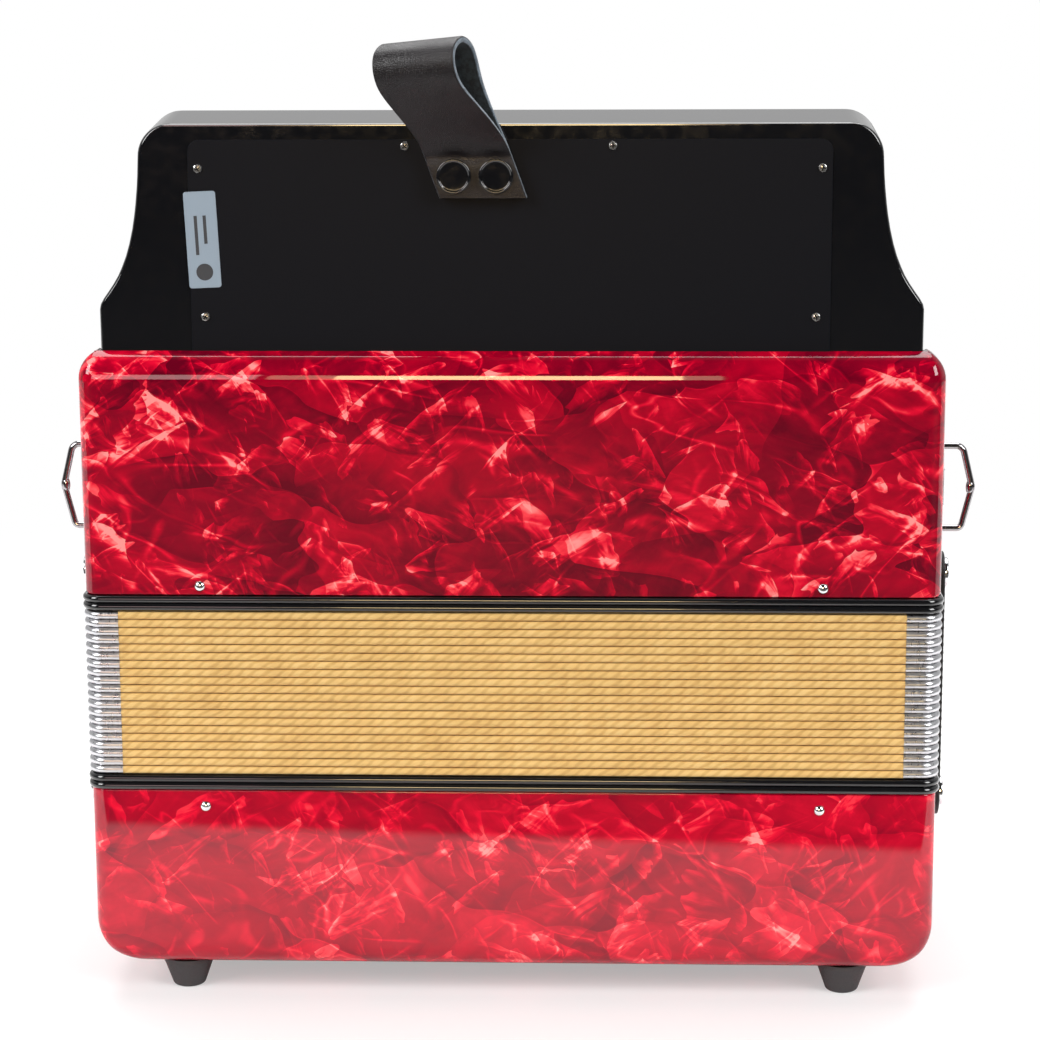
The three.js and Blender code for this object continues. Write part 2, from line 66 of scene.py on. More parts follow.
def size(node):
    """The CAD node's box as (x0, x1, y0, y1, z0, z1) in drawing millimetres."""
    low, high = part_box(node)
    return (
        low.x / MM, high.x / MM, (low.y - BACK) / MM, (high.y - BACK) / MM, low.z / MM, high.z / MM,
    )


def centre(node):
    """The middle of the CAD node's box in drawing millimetres."""
    x0, x1, y0, y1, z0, z1 = size(node)
    return (x0 + x1) / 2, (y0 + y1) / 2, (z0 + z1) / 2


def named(*starts):
    return [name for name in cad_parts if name.startswith(starts)]


HALF = size("bass_casing")[1]
DEPTH = size("bass_casing")[3]
BASS_BOTTOM, BASS_TOP = size("bass_casing")[4:]
BELLOWS_BOTTOM, BELLOWS_TOP = size("bellows")[4:]
TREBLE_BOTTOM = size("treble_casing")[4]
TREBLE_TOP = 249.5
WALL = 6.7
CORNER = 6
FOLDS = 20
FOLD_DEPTH = 11  # how far the valleys between folds lie inside the plan
TAPE_MIDDLE = 2.7  # v of a tape's ridge
AXIS_GAP = 0.004  # the least radius of a turned shape, so that its ends are small faces, not doubled points
BROAD_FACETS = 30.0  # cells to a metre of the pearl's broad facets

# -------- meshes


def lengths(points, closed):
    """Running length along points, in millimetres."""
    found = [0.0]
    ends = points[1:] + (points[:1] if closed else [])
    for a, b in zip(points, ends):
        found.append(found[-1] + (Vector(b) - Vector(a)).length)
    return found


def sweep(start, end, steps):
    """Evenly spaced angles in radians, from one to another in degrees."""
    return [radians(start + (end - start) * k / steps) for k in range(steps + 1)]


def ease(value, low, high):
    """A smooth step from 0 to 1 between two values."""
    t = min(max((value - low) / (high - low), 0), 1)
    return t * t * (3 - 2 * t)


def loft(rings, closed=True, looped=False, caps=False, rim=0):
    """Quads between rings of equal length, as (points, faces, corner uvs). u runs along the ring `rim`."""
    count = len(rings[0])
    points = [p for ring in rings for p in ring]
    around = lengths(list(rings[rim]), closed)
    along = lengths([ring[0] for ring in rings], looped)
    faces, uvs = [], []
    for i in range(len(rings) if looped else len(rings) - 1):
        for j in range(count if closed else count - 1):
            k, n = (j + 1) % count, (i + 1) % len(rings)
            faces.append((i * count + j, i * count + k, n * count + k, n * count + j))
            uvs.append([(around[a], along[b]) for a, b in ((j, i), (j + 1, i), (j + 1, i + 1), (j, i + 1))])
    if caps:
        for i in (0, len(rings) - 1):
            face = tuple(range(i * count, (i + 1) * count))
            faces.append(face)
            uvs.append([(points[k][0], points[k][2]) for k in face])
    return points, faces, uvs


def linked(name, data):
    obj = bpy.data.objects.new(name, data)
    scene.collection.objects.link(obj)
    return obj


def piece(name, parts, materials, body=None, replaces=None, sharp=35, weighted=True):
    """One object from (points, faces, uvs) parts. Each takes the material of its place, or the last one."""
    mesh = bpy.data.meshes.new(name)
    points, faces, uvs, indices = [], [], [], []
    for i, (part_points, part_faces, part_uvs) in enumerate(parts):
        start = len(points)
        points += [at(*p) for p in part_points]
        faces += [tuple(k + start for k in f) for f in part_faces]
        uvs += part_uvs
        indices += [min(i, len(materials) - 1)] * len(part_faces)
    mesh.from_pydata(points, [], faces)
    layer = mesh.uv_layers.new(name="millimetres")
    layer.data.foreach_set("uv", [value for corners in uvs for uv in corners for value in uv])
    for skin in materials:
        mesh.materials.append(skin)
    mesh.polygons.foreach_set("material_index", indices)
    work = bmesh.new()
    work.from_mesh(mesh)
    bmesh.ops.remove_doubles(work, verts=work.verts, dist=1e-7)
    bmesh.ops.recalc_face_normals(work, faces=work.faces)
    work.to_mesh(mesh)
    work.free()
    mesh.shade_smooth()
    mesh.set_sharp_from_angle(angle=radians(sharp))
    obj = linked(name, mesh)
    if weighted:
        obj.modifiers.new("normals", "WEIGHTED_NORMAL").keep_sharp = True
    if replaces:
        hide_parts(replaces)
    if body:
        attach(obj, body)
    return obj


def rounded(corners, steps):
    """Corners (x, y, radius) of a closed outline, each rounded by its radius."""
    found = []
    for i, corner in enumerate(corners):
        here, r = Vector(corner[:2]), corner[2]
        if not r:
            found.append(here)
            continue
        before = (Vector(corners[i - 1][:2]) - here).normalized()
        after = (Vector(corners[(i + 1) % len(corners)][:2]) - here).normalized()
        half = before.angle(after) / 2
        middle = here + (before + after).normalized() * (r / sin(half))
        start = here + before * (r / tan(half)) - middle
        end = here + after * (r / tan(half)) - middle
        turn = atan2(start.x * end.y - start.y * end.x, start.dot(end))
        for k in range(steps + 1):
            found.append(middle + start @ Matrix.Rotation(-turn * k / steps, 2))
    return found


def rectangle(x0, y0, x1, y1, r=0.0, steps=6):
    return rounded([(x0, y0, r), (x1, y0, r), (x1, y1, r), (x0, y1, r)], steps)


def inset(outline, distance):
    """The outline moved inwards."""
    area = sum(a.x * b.y - b.x * a.y for a, b in zip(outline, outline[1:] + outline[:1]))
    sign = 1 if area > 0 else -1
    found = []
    for i, here in enumerate(outline):
        edges = [here - outline[i - 1], outline[(i + 1) % len(outline)] - here]
        normals = [Vector((-e.y, e.x)).normalized() * sign for e in edges if e.length > 1e-6]
        miter = sum(normals, Vector((0, 0)))
        found.append(here + miter * (distance * len(normals) / max(miter.length_squared, 0.3)))
    return found


def slab(outline, low, high, place, bevel, steps=3):
    """A plate between two levels with rounded rims. place(u, v, w) puts a point in the drawing."""
    levels = [(bevel * (1 - sin(t)), low + bevel * (1 - cos(t))) for t in sweep(0, 90, steps)]
    levels += [(d, high + low - w) for d, w in reversed(levels)]
    rings = [[place(p.x, p.y, w) for p in inset(outline, d)] for d, w in levels]
    return loft(rings, caps=True)


def along_x(u, v, w):
    return (w, u, v)


def along_y(u, v, w):
    return (u, w, v)


def along_z(u, v, w):
    return (u, v, w)


def turned(profile, sides, axis, origin, hollow=False):
    """A shape turned from (radius, height) pairs along the axis. A hollow one has a closed profile."""
    turn = Z.rotation_difference(Vector(axis).normalized())
    rings = []
    for r, h in profile:
        r = max(r, AXIS_GAP)
        around = [Vector((r * cos(a), r * sin(a), h)) for a in sweep(0, 360, sides)[:-1]]
        rings.append([tuple(turn @ spot + Vector(origin)) for spot in around])
    return loft(rings, looped=hollow, caps=not hollow)


def arc(cx, cy, r, start, end, steps):
    """Points of an arc about (cx, cy) between two angles in degrees."""
    return [(cx + r * cos(a), cy + r * sin(a)) for a in sweep(start, end, steps)]


def plan(half, back, front, radius, z, steps):
    return [(p.x, p.y, z) for p in rectangle(-half, back, half, front, radius, steps)]


def plan_ring(depth_in, z, steps):
    """The casings' plan moved inwards, at a height."""
    r = max(CORNER - depth_in, 0.8)
    return plan(HALF - depth_in, depth_in, DEPTH - depth_in, r, z, steps)


# -------- materials


class Nodes:
    """A node tree that is built by calls."""

    def __init__(self, owner, shader="Principled BSDF"):
        owner.use_nodes = True
        self.owner = owner
        self.tree = owner.node_tree
        self.shader = self.tree.nodes[shader]

    def new(self, kind, inputs=None, **settings):
        node = self.tree.nodes.new("ShaderNode" + kind)
        for key, value in settings.items():
            setattr(node, key, value)
        for key, value in (inputs or {}).items():
            self.put(node.inputs[key], value)
        return node

    def put(self, socket, value):
        if hasattr(value, "is_output"):
            self.tree.links.new(value, socket)
        else:
            socket.default_value = value

    def fill(self, node, values):
        for socket, value in zip(node.inputs, values):
            self.put(socket, value)
        return node.outputs[0]

    def math(self, operation, *values, clamp=False):
        return self.fill(self.new("Math", operation=operation, use_clamp=clamp), values)

    def times(self, a, b):
        return self.math("MULTIPLY", a, b)

    def minus(self, a, b):
        return self.math("SUBTRACT", a, b)

    def plus(self, a, b, share=None):
        """a + b, or a + b * share."""
        return self.math("ADD", a, b if share is None else self.times(b, share))

    def vector(self, operation, *values):
        node = self.new("VectorMath", operation=operation)
        first = self.fill(node, values)
        return node.outputs["Value"] if operation in ("DOT_PRODUCT", "LENGTH") else first

    def smooth(self, value, low, high, to_low=0.0, to_high=1.0):
        node = self.new("MapRange", interpolation_type="SMOOTHSTEP")
        return self.fill(node, (value, low, high, to_low, to_high))

    def noise(self, vector, scale, detail=2.0, output="Fac", roughness=0.5, distortion=0.0):
        inputs = dict(Vector=vector, Scale=scale, Detail=detail, Roughness=roughness, Distortion=distortion)
        return self.new("TexNoise", inputs).outputs[output]

    def cell_edge(self, vector, scale):
        inputs = {"Vector": vector, "Scale": scale}
        return self.new("TexVoronoi", inputs, feature="DISTANCE_TO_EDGE").outputs["Distance"]

    def ramp(self, value, *stops):
        node = self.new("ValToRGB", {"Fac": value})
        elements = node.color_ramp.elements
        while len(elements) < len(stops):
            elements.new(0.5)
        for element, (position, color) in zip(elements, stops):
            element.position = position
            element.color = (*color, 1)
        return node.outputs["Color"]

    def mix(self, factor, a, b):
        node = self.new("Mix", data_type="RGBA")
        self.put(node.inputs["Factor"], factor)
        for socket, color in ((node.inputs[6], a), (node.inputs[7], b)):
            self.put(socket, color if hasattr(color, "is_output") else (*color, 1))
        return node.outputs[2]

    def bump(self, height, strength, distance):
        node = self.new("Bump", {"Height": height, "Strength": strength, "Distance": distance})
        self.put(self.shader.inputs["Normal"], node.outputs[0])

    def set(self, **values):
        for key, value in values.items():
            socket = self.shader.inputs[key.replace("_", " ")]
            self.put(socket, (*value, 1) if isinstance(value, tuple) else value)
        return self.owner

    def place(self, source="Object", scale=(1, 1, 1)):
        where = self.new("TexCoord").outputs[source]
        return self.new("Mapping", {"Vector": where, "Scale": scale}).outputs[0]


def material(name):
    return Nodes(bpy.data.materials.new(name))


def tilted(n, tilt, stretch):
    """Object space turned in the plane of the back and stretched along the turned axes."""
    inputs = {"Vector": n.new("TexCoord").outputs["Object"]}
    inputs.update(Location=(tilt * 0.37, 0.0, tilt * 0.21), Rotation=(0.0, radians(tilt), 0.0), Scale=stretch)
    return n.new("Mapping", inputs, vector_type="TEXTURE").outputs[0]


def facets(n, tilt, scale, warp, fray, stretch=(1.3, 1.0, 0.75)):
    """Warped cells in a tilted, stretched space, `scale` of them to a metre.

    Gives the warped spot, how far along its cell's own heading it lies, the cell's random number, and streaks
    along the heading, `fray` of them to a cell.
    """
    where = tilted(n, tilt, stretch)
    shift = n.noise(where, scale * 0.9, 2.2, "Color", 0.45)
    bent = n.vector("ADD", where, n.vector("MULTIPLY", n.vector("SUBTRACT", shift, (0.5,) * 3), (warp,) * 3))
    cell = n.new("TexVoronoi", {"Vector": bent, "Scale": scale, "Randomness": 1.0})
    inside = n.vector("MULTIPLY", n.vector("SUBTRACT", bent, cell.outputs["Position"]), (scale,) * 3)
    heading = n.vector("SUBTRACT", cell.outputs["Color"], (0.5,) * 3)
    heading = n.vector("NORMALIZE", n.vector("MULTIPLY", heading, (1.0, 0.4, 1.0)))
    slope = n.vector("DOT_PRODUCT", inside, heading)
    chance = n.new("SeparateColor", {"Color": cell.outputs["Color"]}).outputs["Blue"]
    lengthwise = n.new("VectorMath", {0: heading}, operation="SCALE")
    n.put(lengthwise.inputs["Scale"], n.times(slope, -0.92))
    squeezed = n.vector("ADD", inside, lengthwise.outputs[0])
    moved = n.vector("ADD", squeezed, n.vector("MULTIPLY", cell.outputs["Color"], (31.0, 17.0, 23.0)))
    streaks = n.minus(n.noise(moved, fray, 3.0, "Fac", 0.55, 0.2), 0.5)
    return bent, slope, chance, streaks


def crease(n, tilt, scale, low):
    """Thin curved ridges where a stretched noise crosses its middle, kept in patches."""
    where = tilted(n, tilt, (1.8, 1.0, 0.6))
    line = n.math("ABSOLUTE", n.minus(n.noise(where, scale, 1.5, "Fac", 0.5, 0.6), 0.5))
    patch = n.smooth(n.noise(where, scale * 1.9, 1.0), low, low + 0.12)
    return n.times(n.smooth(line, 0.03, 0.0), patch)


def pearloid(name, lift, contrast):
    """Pearl celluloid: broad facets, frayed flakes, thin creases. Copies differ in lightness and contrast as
    painted light: a lighter, softer copy stands for a sheet in brighter light under a reflected veil.
    """
    n = material(name)
    bent, broad, chance, combed = facets(n, 8.0, BROAD_FACETS, 0.042, 5.0)
    _, wide, _, wide_combed = facets(n, -24.0, 17.0, 0.06, 8.0)
    # flakes: (facets, range of the pick, share of the lightness)
    flakes = [
        (facets(n, tilt, scale, warp, fray, stretch), pick, share)
        for tilt, scale, warp, fray, stretch, pick, share in (
            (24.0, 58.0, 0.024, 4.0, (1.7, 1.0, 0.66), (1.0, 1.18), 0.4),
            (-34.0, 74.0, 0.02, 4.0, (1.8, 1.0, 0.62), (1.04, 1.2), 0.42),
            (66.0, 110.0, 0.013, 3.2, (1.8, 1.0, 0.62), (1.14, 1.32), 0.34),
        )
    ]
    edge = n.cell_edge(bent, BROAD_FACETS)
    patch = n.noise(n.place(), 24.0, 2.0, "Fac", 0.5, 0.8)
    level = n.plus(0.32 + lift, broad, 0.26 * contrast)
    level = n.plus(level, wide, 0.14 * contrast)
    level = n.plus(level, n.minus(chance, 0.5), 0.1)
    level = n.plus(level, n.plus(combed, wide_combed), 0.34 * contrast)
    for (_, along, chance, fray), (low, high), share in flakes:
        # bright at one end, frayed towards the other
        flake = n.smooth(n.plus(along, fray, 1.9), 0.0, 0.7)
        picked = n.smooth(n.plus(chance, patch, 1.2), low, high)
        level = n.plus(level, n.times(flake, picked), share * contrast)
    for tilt, scale, low in ((12.0, 24.0, 0.48), (-46.0, 30.0, 0.5), (50.0, 34.0, 0.52)):
        level = n.plus(level, crease(n, tilt, scale, low), 0.26 * contrast)
    visible = n.smooth(n.noise(n.place(), 45.0, 1.0), 0.5, 0.62)
    level = n.plus(level, n.times(n.smooth(edge, 0.03, 0.0), visible), 0.14)
    level = n.math("SUBTRACT", level, n.times(n.smooth(edge, 0.12, 0.02), 0.07), clamp=True)
    color = n.ramp(
        level,
        (0.0, (0.13, 0.0, 0.01)),
        (0.25, (0.26, 0.0, 0.014)),
        (0.45, (0.44, 0.0, 0.017)),
        (0.66, (0.76, 0.003, 0.03)),
        (0.84, (1.0, 0.06, 0.08)),
        (1.0, (1.0, 0.3, 0.28)),
    )
    n.set(Coat_Weight=1.0, Coat_Roughness=0.02, Coat_IOR=1.5)
    return n.set(Base_Color=color, Roughness=0.5, Specular_IOR_Level=0.0)


def gloss(name, color, roughness, coat=0.6):
    n = material(name)
    haze = n.noise(n.place(), 240.0, 3.0)
    rough = n.smooth(haze, 0.3, 0.7, roughness, roughness + 0.07)
    return n.set(Base_Color=color, Roughness=rough, Coat_Weight=coat, Coat_Roughness=0.04)


def satin_plate():
    n = material("black_satin")
    n.bump(n.noise(n.place(), 2600.0), 0.1, 0.00005)
    return n.set(Base_Color=(0.0036, 0.0046, 0.0076), Roughness=0.48, Specular_IOR_Level=0.09)


def metal(name, color, roughness):
    n = material(name)
    smear = n.noise(n.place(scale=(1.0, 1.0, 0.3)), 900.0, 3.0)
    rough = n.smooth(smear, 0.25, 0.75, roughness, roughness + 0.08)
    return n.set(Base_Color=color, Metallic=1.0, Roughness=rough)


def gold_cord():
    """Cloth tape with an oblique cord weave, laid along each fold. Painted shade: its colour is lighter on
    the raised cords, darker in the grooves between them, and darker towards its valleys.
    """
    n = material("gold_cord")
    along, across = n.new("SeparateXYZ", {"Vector": n.place("UV")}).outputs[:2]
    wander = n.noise(n.place(), 130.0, 2.0)
    cords = n.plus(n.plus(n.times(along, 1.3), across, -1.5), wander, 6.0)
    cord = n.smooth(n.math("SINE", cords), -1.0, 0.3)
    threads = n.plus(n.times(along, 7.5), across, -11.0)
    thread = n.smooth(n.math("SINE", threads), -1.0, 1.0)
    height = n.plus(n.times(cord, 0.5), thread, 0.25)
    n.bump(height, 0.45, 0.0003)
    # painted shade: towards the valleys between folds the tape's colour is mixed towards a dark brown
    painted_valley_shade = n.smooth(n.math("ABSOLUTE", n.minus(across, TAPE_MIDDLE)), 1.25, 2.1)
    # painted shade on the weave: lighter on raised cords, darker in their grooves, plus a random tone from
    # the wander noise
    weave_shade_and_tone = n.plus(n.times(height, 0.6), wander, 0.5)
    color = n.ramp(weave_shade_and_tone, (0.1, (0.5, 0.27, 0.065)), (0.55, (0.72, 0.45, 0.14)), (0.95, (0.86, 0.61, 0.25)))
    color = n.mix(n.times(painted_valley_shade, 0.6), color, (0.4, 0.19, 0.035))
    return n.set(Base_Color=color, Roughness=0.55, Sheen_Weight=0.2, Sheen_Roughness=0.5)


def mottled(name, noise, *stops, scale=(1, 1, 1), **settings):
    """A noise in object space, coloured by a ramp."""
    n = material(name)
    return n.set(Base_Color=n.ramp(n.noise(n.place(scale=scale), *noise), *stops), **settings)


def leather():
    n = material("black_leather")
    where = n.place()
    pores = n.cell_edge(where, 1500.0)
    creases = n.noise(where, 260.0, 5.0, "Fac", 0.65)
    height = n.plus(n.smooth(pores, 0.0, 0.25), creases, 0.8)
    n.bump(height, 0.5, 0.0001)
    patch = n.noise(where, 90.0, 4.0)
    rough = n.smooth(patch, 0.3, 0.75, 0.31, 0.47)
    color = n.mix(n.smooth(patch, 0.35, 0.75), (0.0065, 0.0045, 0.0055), (0.013, 0.01, 0.012))
    return n.set(Base_Color=color, Roughness=rough, Specular_IOR_Level=0.34)


def suede(name, low, high):
    n = material(name)
    where = n.place()
    n.bump(n.noise(where, 2200.0, 4.0), 0.7, 0.0002)
    mottle = n.noise(where, 420.0, 5.0, "Fac", 0.7)
    return n.set(Base_Color=n.mix(n.smooth(mottle, 0.35, 0.65), low, high), Roughness=0.85, Sheen_Weight=0.3)


def rubber():
    n = material("rubber")
    grain = n.noise(n.place(), 1800.0, 3.0)
    n.bump(grain, 0.25, 0.0001)
    return n.set(Base_Color=(0.04, 0.037, 0.039), Roughness=n.smooth(grain, 0.3, 0.7, 0.5, 0.68))


def felt(name, color):
    n = material(name)
    n.bump(n.noise(n.place(), 3000.0, 3.0), 0.8, 0.0002)
    return n.set(Base_Color=color, Roughness=0.95)


PEARL = pearloid("red_pearloid", -0.01, 1.2)
# the bass copy is painted lighter and softer: painted light and a painted floor reflection on the bass casing
BASS_PEARL_PAINTED_LIGHT = pearloid("red_pearloid_bass_painted_light", 0.13, 0.7)
BLACK = gloss("black_gloss", (0.005, 0.005, 0.006), 0.05)
PLATE = satin_plate()
CHROME = metal("chrome", (0.72, 0.73, 0.75), 0.07)
DARK_CHROME = metal("dark_chrome", (0.36, 0.34, 0.35), 0.09)
GUARD_CHROME = metal("guard_chrome", (0.58, 0.58, 0.6), 0.26)
GRILLE_STEEL = metal("grille_steel", (0.44, 0.45, 0.47), 0.32)
SCREW = metal("screw_steel", (0.55, 0.55, 0.54), 0.22)
GOLD = gold_cord()
# the folds' card between two tapes, covered with the same cloth worn flat; its darker brown than the tapes is
# painted shade of the valleys between them
CARD_PAINTED_SHADE = mottled(
    "fold_card_painted_shade", (900.0, 3.0), (0.3, (0.42, 0.21, 0.05)), (0.7, (0.6, 0.34, 0.09)), Roughness=0.75
)
LEATHER = leather()
SUEDE = suede("suede", (0.006, 0.012, 0.016), (0.035, 0.052, 0.062))
CUT_EDGE = suede("cut_edge", (0.07, 0.095, 0.12), (0.17, 0.21, 0.25))
RUBBER = rubber()
WHITE = mottled(
    "button_white", (160.0, 3.0, "Fac", 0.5, 2.5),
    (0.3, (0.66, 0.62, 0.54)), (0.6, (0.84, 0.81, 0.74)), (0.8, (0.95, 0.93, 0.88)),
    Roughness=0.22, Coat_Weight=0.8, Coat_Roughness=0.03, Subsurface_Weight=0.1,
)
WOOD = mottled(
    "wood", (38.0, 5.0, "Fac", 0.6, 0.8), (0.3, (0.34, 0.2, 0.09)), (0.7, (0.58, 0.39, 0.2)),
    scale=(1.0, 9.0, 9.0), Roughness=0.55,
)
FELT = felt("felt", (0.012, 0.01, 0.01))
# painted shade: a black felt for the screws' cross recesses
PAINTED_RECESS_SHADE = felt("recess", (0.004, 0.004, 0.004))
PAPER = gloss("label_paper", (0.27, 0.34, 0.41), 0.45, 0.0)
INK = gloss("label_ink", (0.03, 0.035, 0.045), 0.5, 0.0)

for wooden in named("bass_reed_block", "treble_soundboard", "treble_reed_block_"):
    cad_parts[wooden].data.materials[0] = WOOD
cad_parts["key_axle"].data.materials[0] = SCREW

# -------- bass end

BEVEL = 34
BEVEL_OUT = Vector((0, 1, -1)).normalized()
LOW_CORNER = 18  # rounding of the lower corners, seen from the back


def crossing(outline, level, positive):
    """Where an outline of (across, z) points crosses a level, on the positive or the other side."""
    found = []
    for a, b in zip(outline, outline[1:] + outline[:1]):
        if min(a.y, b.y) - 1e-6 <= level <= max(a.y, b.y) + 1e-6:
            level_edge = abs(b.y - a.y) < 1e-9
            found += [a.x, b.x] if level_edge else [a.x + (b.x - a.x) * (level - a.y) / (b.y - a.y)]
    return max(found) if positive else min(found)


def bass_casing():
    low = BASS_BOTTOM
    front = rounded(
        [(-HALF, low, LOW_CORNER), (HALF, low, LOW_CORNER), (HALF, BASS_TOP, 0), (-HALF, BASS_TOP, 0)], 14
    )
    bevel = [(DEPTH - BEVEL, low, 5), (DEPTH, low + BEVEL, 5)]
    side = rounded([(0, BASS_TOP, 0), (0, low, 9)] + bevel + [(DEPTH, BASS_TOP, 0)], 12)
    levels = [low + LOW_CORNER * (1 - cos(a)) for a in sweep(0, 90, 16)]
    levels += [low + v for v in (22, 26, 29, 31, 32.5, 34, 35.5, 37, 40)] + [BASS_TOP - 0.5]
    outer = []
    for z in levels:
        back, forward = crossing(side, z, False), crossing(side, z, True)
        outer.append(plan(crossing(front, z, True), back, forward, CORNER, z, 6))
    top = [plan_ring(0.35, BASS_TOP, 6), plan_ring(WALL, BASS_TOP, 6), plan_ring(WALL, low + 42, 6)]
    _, x1, y0, y1, _, _ = size("bass_end_plate")
    gap, deep = 0.3, 3.4
    recess = [plan(x1 + gap, y0 - gap, y1 + gap, 4, z, 6) for z in (low + deep, low)]
    parts = [loft(recess + outer + top, caps=True)]
    piece("bass_casing_shell", parts, [BASS_PEARL_PAINTED_LIGHT], "bass", "bass_casing")


def bass_buttons():
    for name in named("bass_button_") + ["air_button"]:
        _, _, _, y1, z0, _ = size(name)
        air = name == "air_button"
        lift, height, cap, stem, inner = (5.6, 4.0, 7.5, 4.5, 10) if air else (3.4, 3.4, 5.6, 4.0, 16)
        top = lift + height
        # the cap's outer face is the box's lowest, foremost part
        reach = cap / sqrt(2)
        origin = Vector((centre(name)[0], y1 - reach, z0 + reach)) - BEVEL_OUT * top
        profile = [(0, -inner), (stem, -inner), (stem, lift), (cap - 0.6, lift), (cap, lift + 0.5)]
        profile += [(cap, top - 1.5)] + arc(cap - 1.4, top - 1.5, 1.4, 0, 80, 5)
        profile += [(cap * 0.55, top - 0.35), (cap * 0.3, top - 0.55), (0, top - 0.6)]
        piece(f"{name}_cap", [turned(profile, 28, BEVEL_OUT, origin)], [WHITE], name, name)
        ring = [(stem + 0.35, -0.2), (stem + 0.35, 0.2), (cap - 0.4, 0.2), (cap - 0.3, -0.2)]
        piece(f"{name}_felt", [turned(ring, 28, BEVEL_OUT, origin, True)], [FELT], "bass")


def foot(name):
    x, y, _ = centre(name)
    top = size(name)[5]
    profile = [(0, 0), (4.6, 0)] + arc(4.9, 1.6, 1.6, -90, -8, 5)[1:]
    profile += [(9.3, 9.4), (9.65, 10.0), (9.8, 10.6), (9.8, top), (0, top)]
    piece(f"{name}_rubber", [turned(profile, 36, Z, (x, y, 0))], [RUBBER], "bass", name)


def hand_strap():
    _, end, y0, y1, _, crown = size("hand_strap")
    thick, drop, stations = 3.0, 7.8, 48
    rings = []
    for k in range(stations + 1):
        x = -end + 2 * end * k / stations
        top = crown - drop * ease(abs(x), 123, 73)
        rings.append([(x, p.x, p.y) for p in rectangle(y0, top - thick, y1, top, 1.3, 4)])
    piece("hand_strap_leather", [loft(rings, caps=True)], [LEATHER], "bass", "hand_strap")
    head = [(0, -0.9), (1.2, -0.85), (2.2, -0.3), (2.4, 0.3), (0, 0.3)]
    for node in named("hand_strap_clamp_"):
        x0, x1, y0, y1, z0, z1 = size(node)
        x, y, _ = centre(node)
        parts = [slab(rectangle(x0, y0, x1, y1, 3, 6), z0, z1, along_z, 0.6)]
        parts += [turned(head, 20, Z, (x, spot, z0)) for spot in (y0 + 9, y, y1 - 9)]
        piece(f"{node}_plate", parts, [CHROME], "bass", node)


def end_plate():
    x0, x1, y0, y1, z0, z1 = size("bass_end_plate")
    parts = [slab(rectangle(x0, y0, x1, y1, 4, 6), z0, z1, along_z, 0.5)]
    piece("bass_end_plate_panel", parts, [PLATE], "bass", "bass_end_plate")


bass_casing()
bass_buttons()
for foot_name in named("foot_"):
    foot(foot_name)
hand_strap()
end_plate()

# -------- bellows


def bellows_frame(body):
    """A flat frame with two glossy half-round beads."""
    name = f"{body}_bellows_frame"
    bottom, top = size(name)[4:]
    r = (top - bottom) / 4
    section = []
    for centre_z in (bottom + r, bottom + 3 * r):
        section += [(r - 1.3 - r * cos(a), centre_z + r * sin(a)) for a in sweep(-84, 84, 10)]
    section += [(14, top), (14, bottom)]
    rings = [plan_ring(d, z, 7) for d, z in section]
    piece(f"{name}_beads", [loft(rings, looped=True)], [BLACK], body, name)


def rest_of(weight):
    """Where a smooth step from 0 to 1 has this value."""
    return 0.5 - sin(asin(1 - 2 * weight) / 3)


def stretch(obj, z0, z1, weight0, weight1):
    """Bakes the piece's place into its mesh. The shares of the opening for its lower and upper end are turned
    into t0 and t1, which are not used; the piece does not follow the bellows as it opens.
    """
    t0, t1 = rest_of(weight0), rest_of(weight1)
    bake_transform(obj)


def hold(obj):
    """Bakes the piece's place into its mesh; the piece does not move with the opening."""
    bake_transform(obj)


GUARD = 12.8  # reach of the chrome guards from the bellows' corners


def corner_paths(depth_in):
    """The plan's four corners, each with a straight stretch on both sides."""
    r = max(CORNER - depth_in, 0.8)
    half = HALF - depth_in
    for sx in (-1, 1):
        for y_corner, sy in ((depth_in, 1), (DEPTH - depth_in, -1)):
            cx, cy = sx * (half - r), y_corner + sy * r
            points = [(sx * (HALF - GUARD), y_corner)]
            for angle in sweep(0, 90, 8):
                points.append((cx + sx * r * sin(angle), cy - sy * r * cos(angle)))
            points.append((sx * half, y_corner + sy * (GUARD - depth_in)))
            yield points


def bellows():
    pitch = (BELLOWS_TOP - BELLOWS_BOTTOM) / FOLDS
    for i in range(FOLDS):
        low = BELLOWS_BOTTOM + i * pitch
        middle = low + pitch / 2
        for name, z0, start, d0, d1 in (
            ("lower", low, i, FOLD_DEPTH, 0.7),
            ("upper", middle, i + 0.5, 0.7, FOLD_DEPTH),
        ):
            z1 = z0 + pitch / 2
            rings = [plan_ring(d0 + (d1 - d0) * t, z0 + (z1 - z0) * t, 4) for t in (0, 0.35, 0.7, 1)]
            # the card's dark brown is painted shade of the fold valleys
            card = piece(f"fold_{i + 1}_{name}", [loft(rings)], [CARD_PAINTED_SHADE], None, weighted=False)
            stretch(card, z0, z1, start / FOLDS, (start + 0.5) / FOLDS)
        turns = sweep(-112, 112, 12)
        rings = [plan_ring(0.55 - 1.28 * cos(a), middle + 1.49 * sin(a), 6) for a in turns]
        rim = loft(rings, looped=True, rim=len(rings) // 2)
        tape = piece(f"fold_{i + 1}_tape", [rim], [GOLD], None)
        steel = piece(f"fold_{i + 1}_guards", list(guards(middle)), [GUARD_CHROME], None)
        for obj in (tape, steel):
            hold(obj)
        if i == 0:
            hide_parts("bellows")


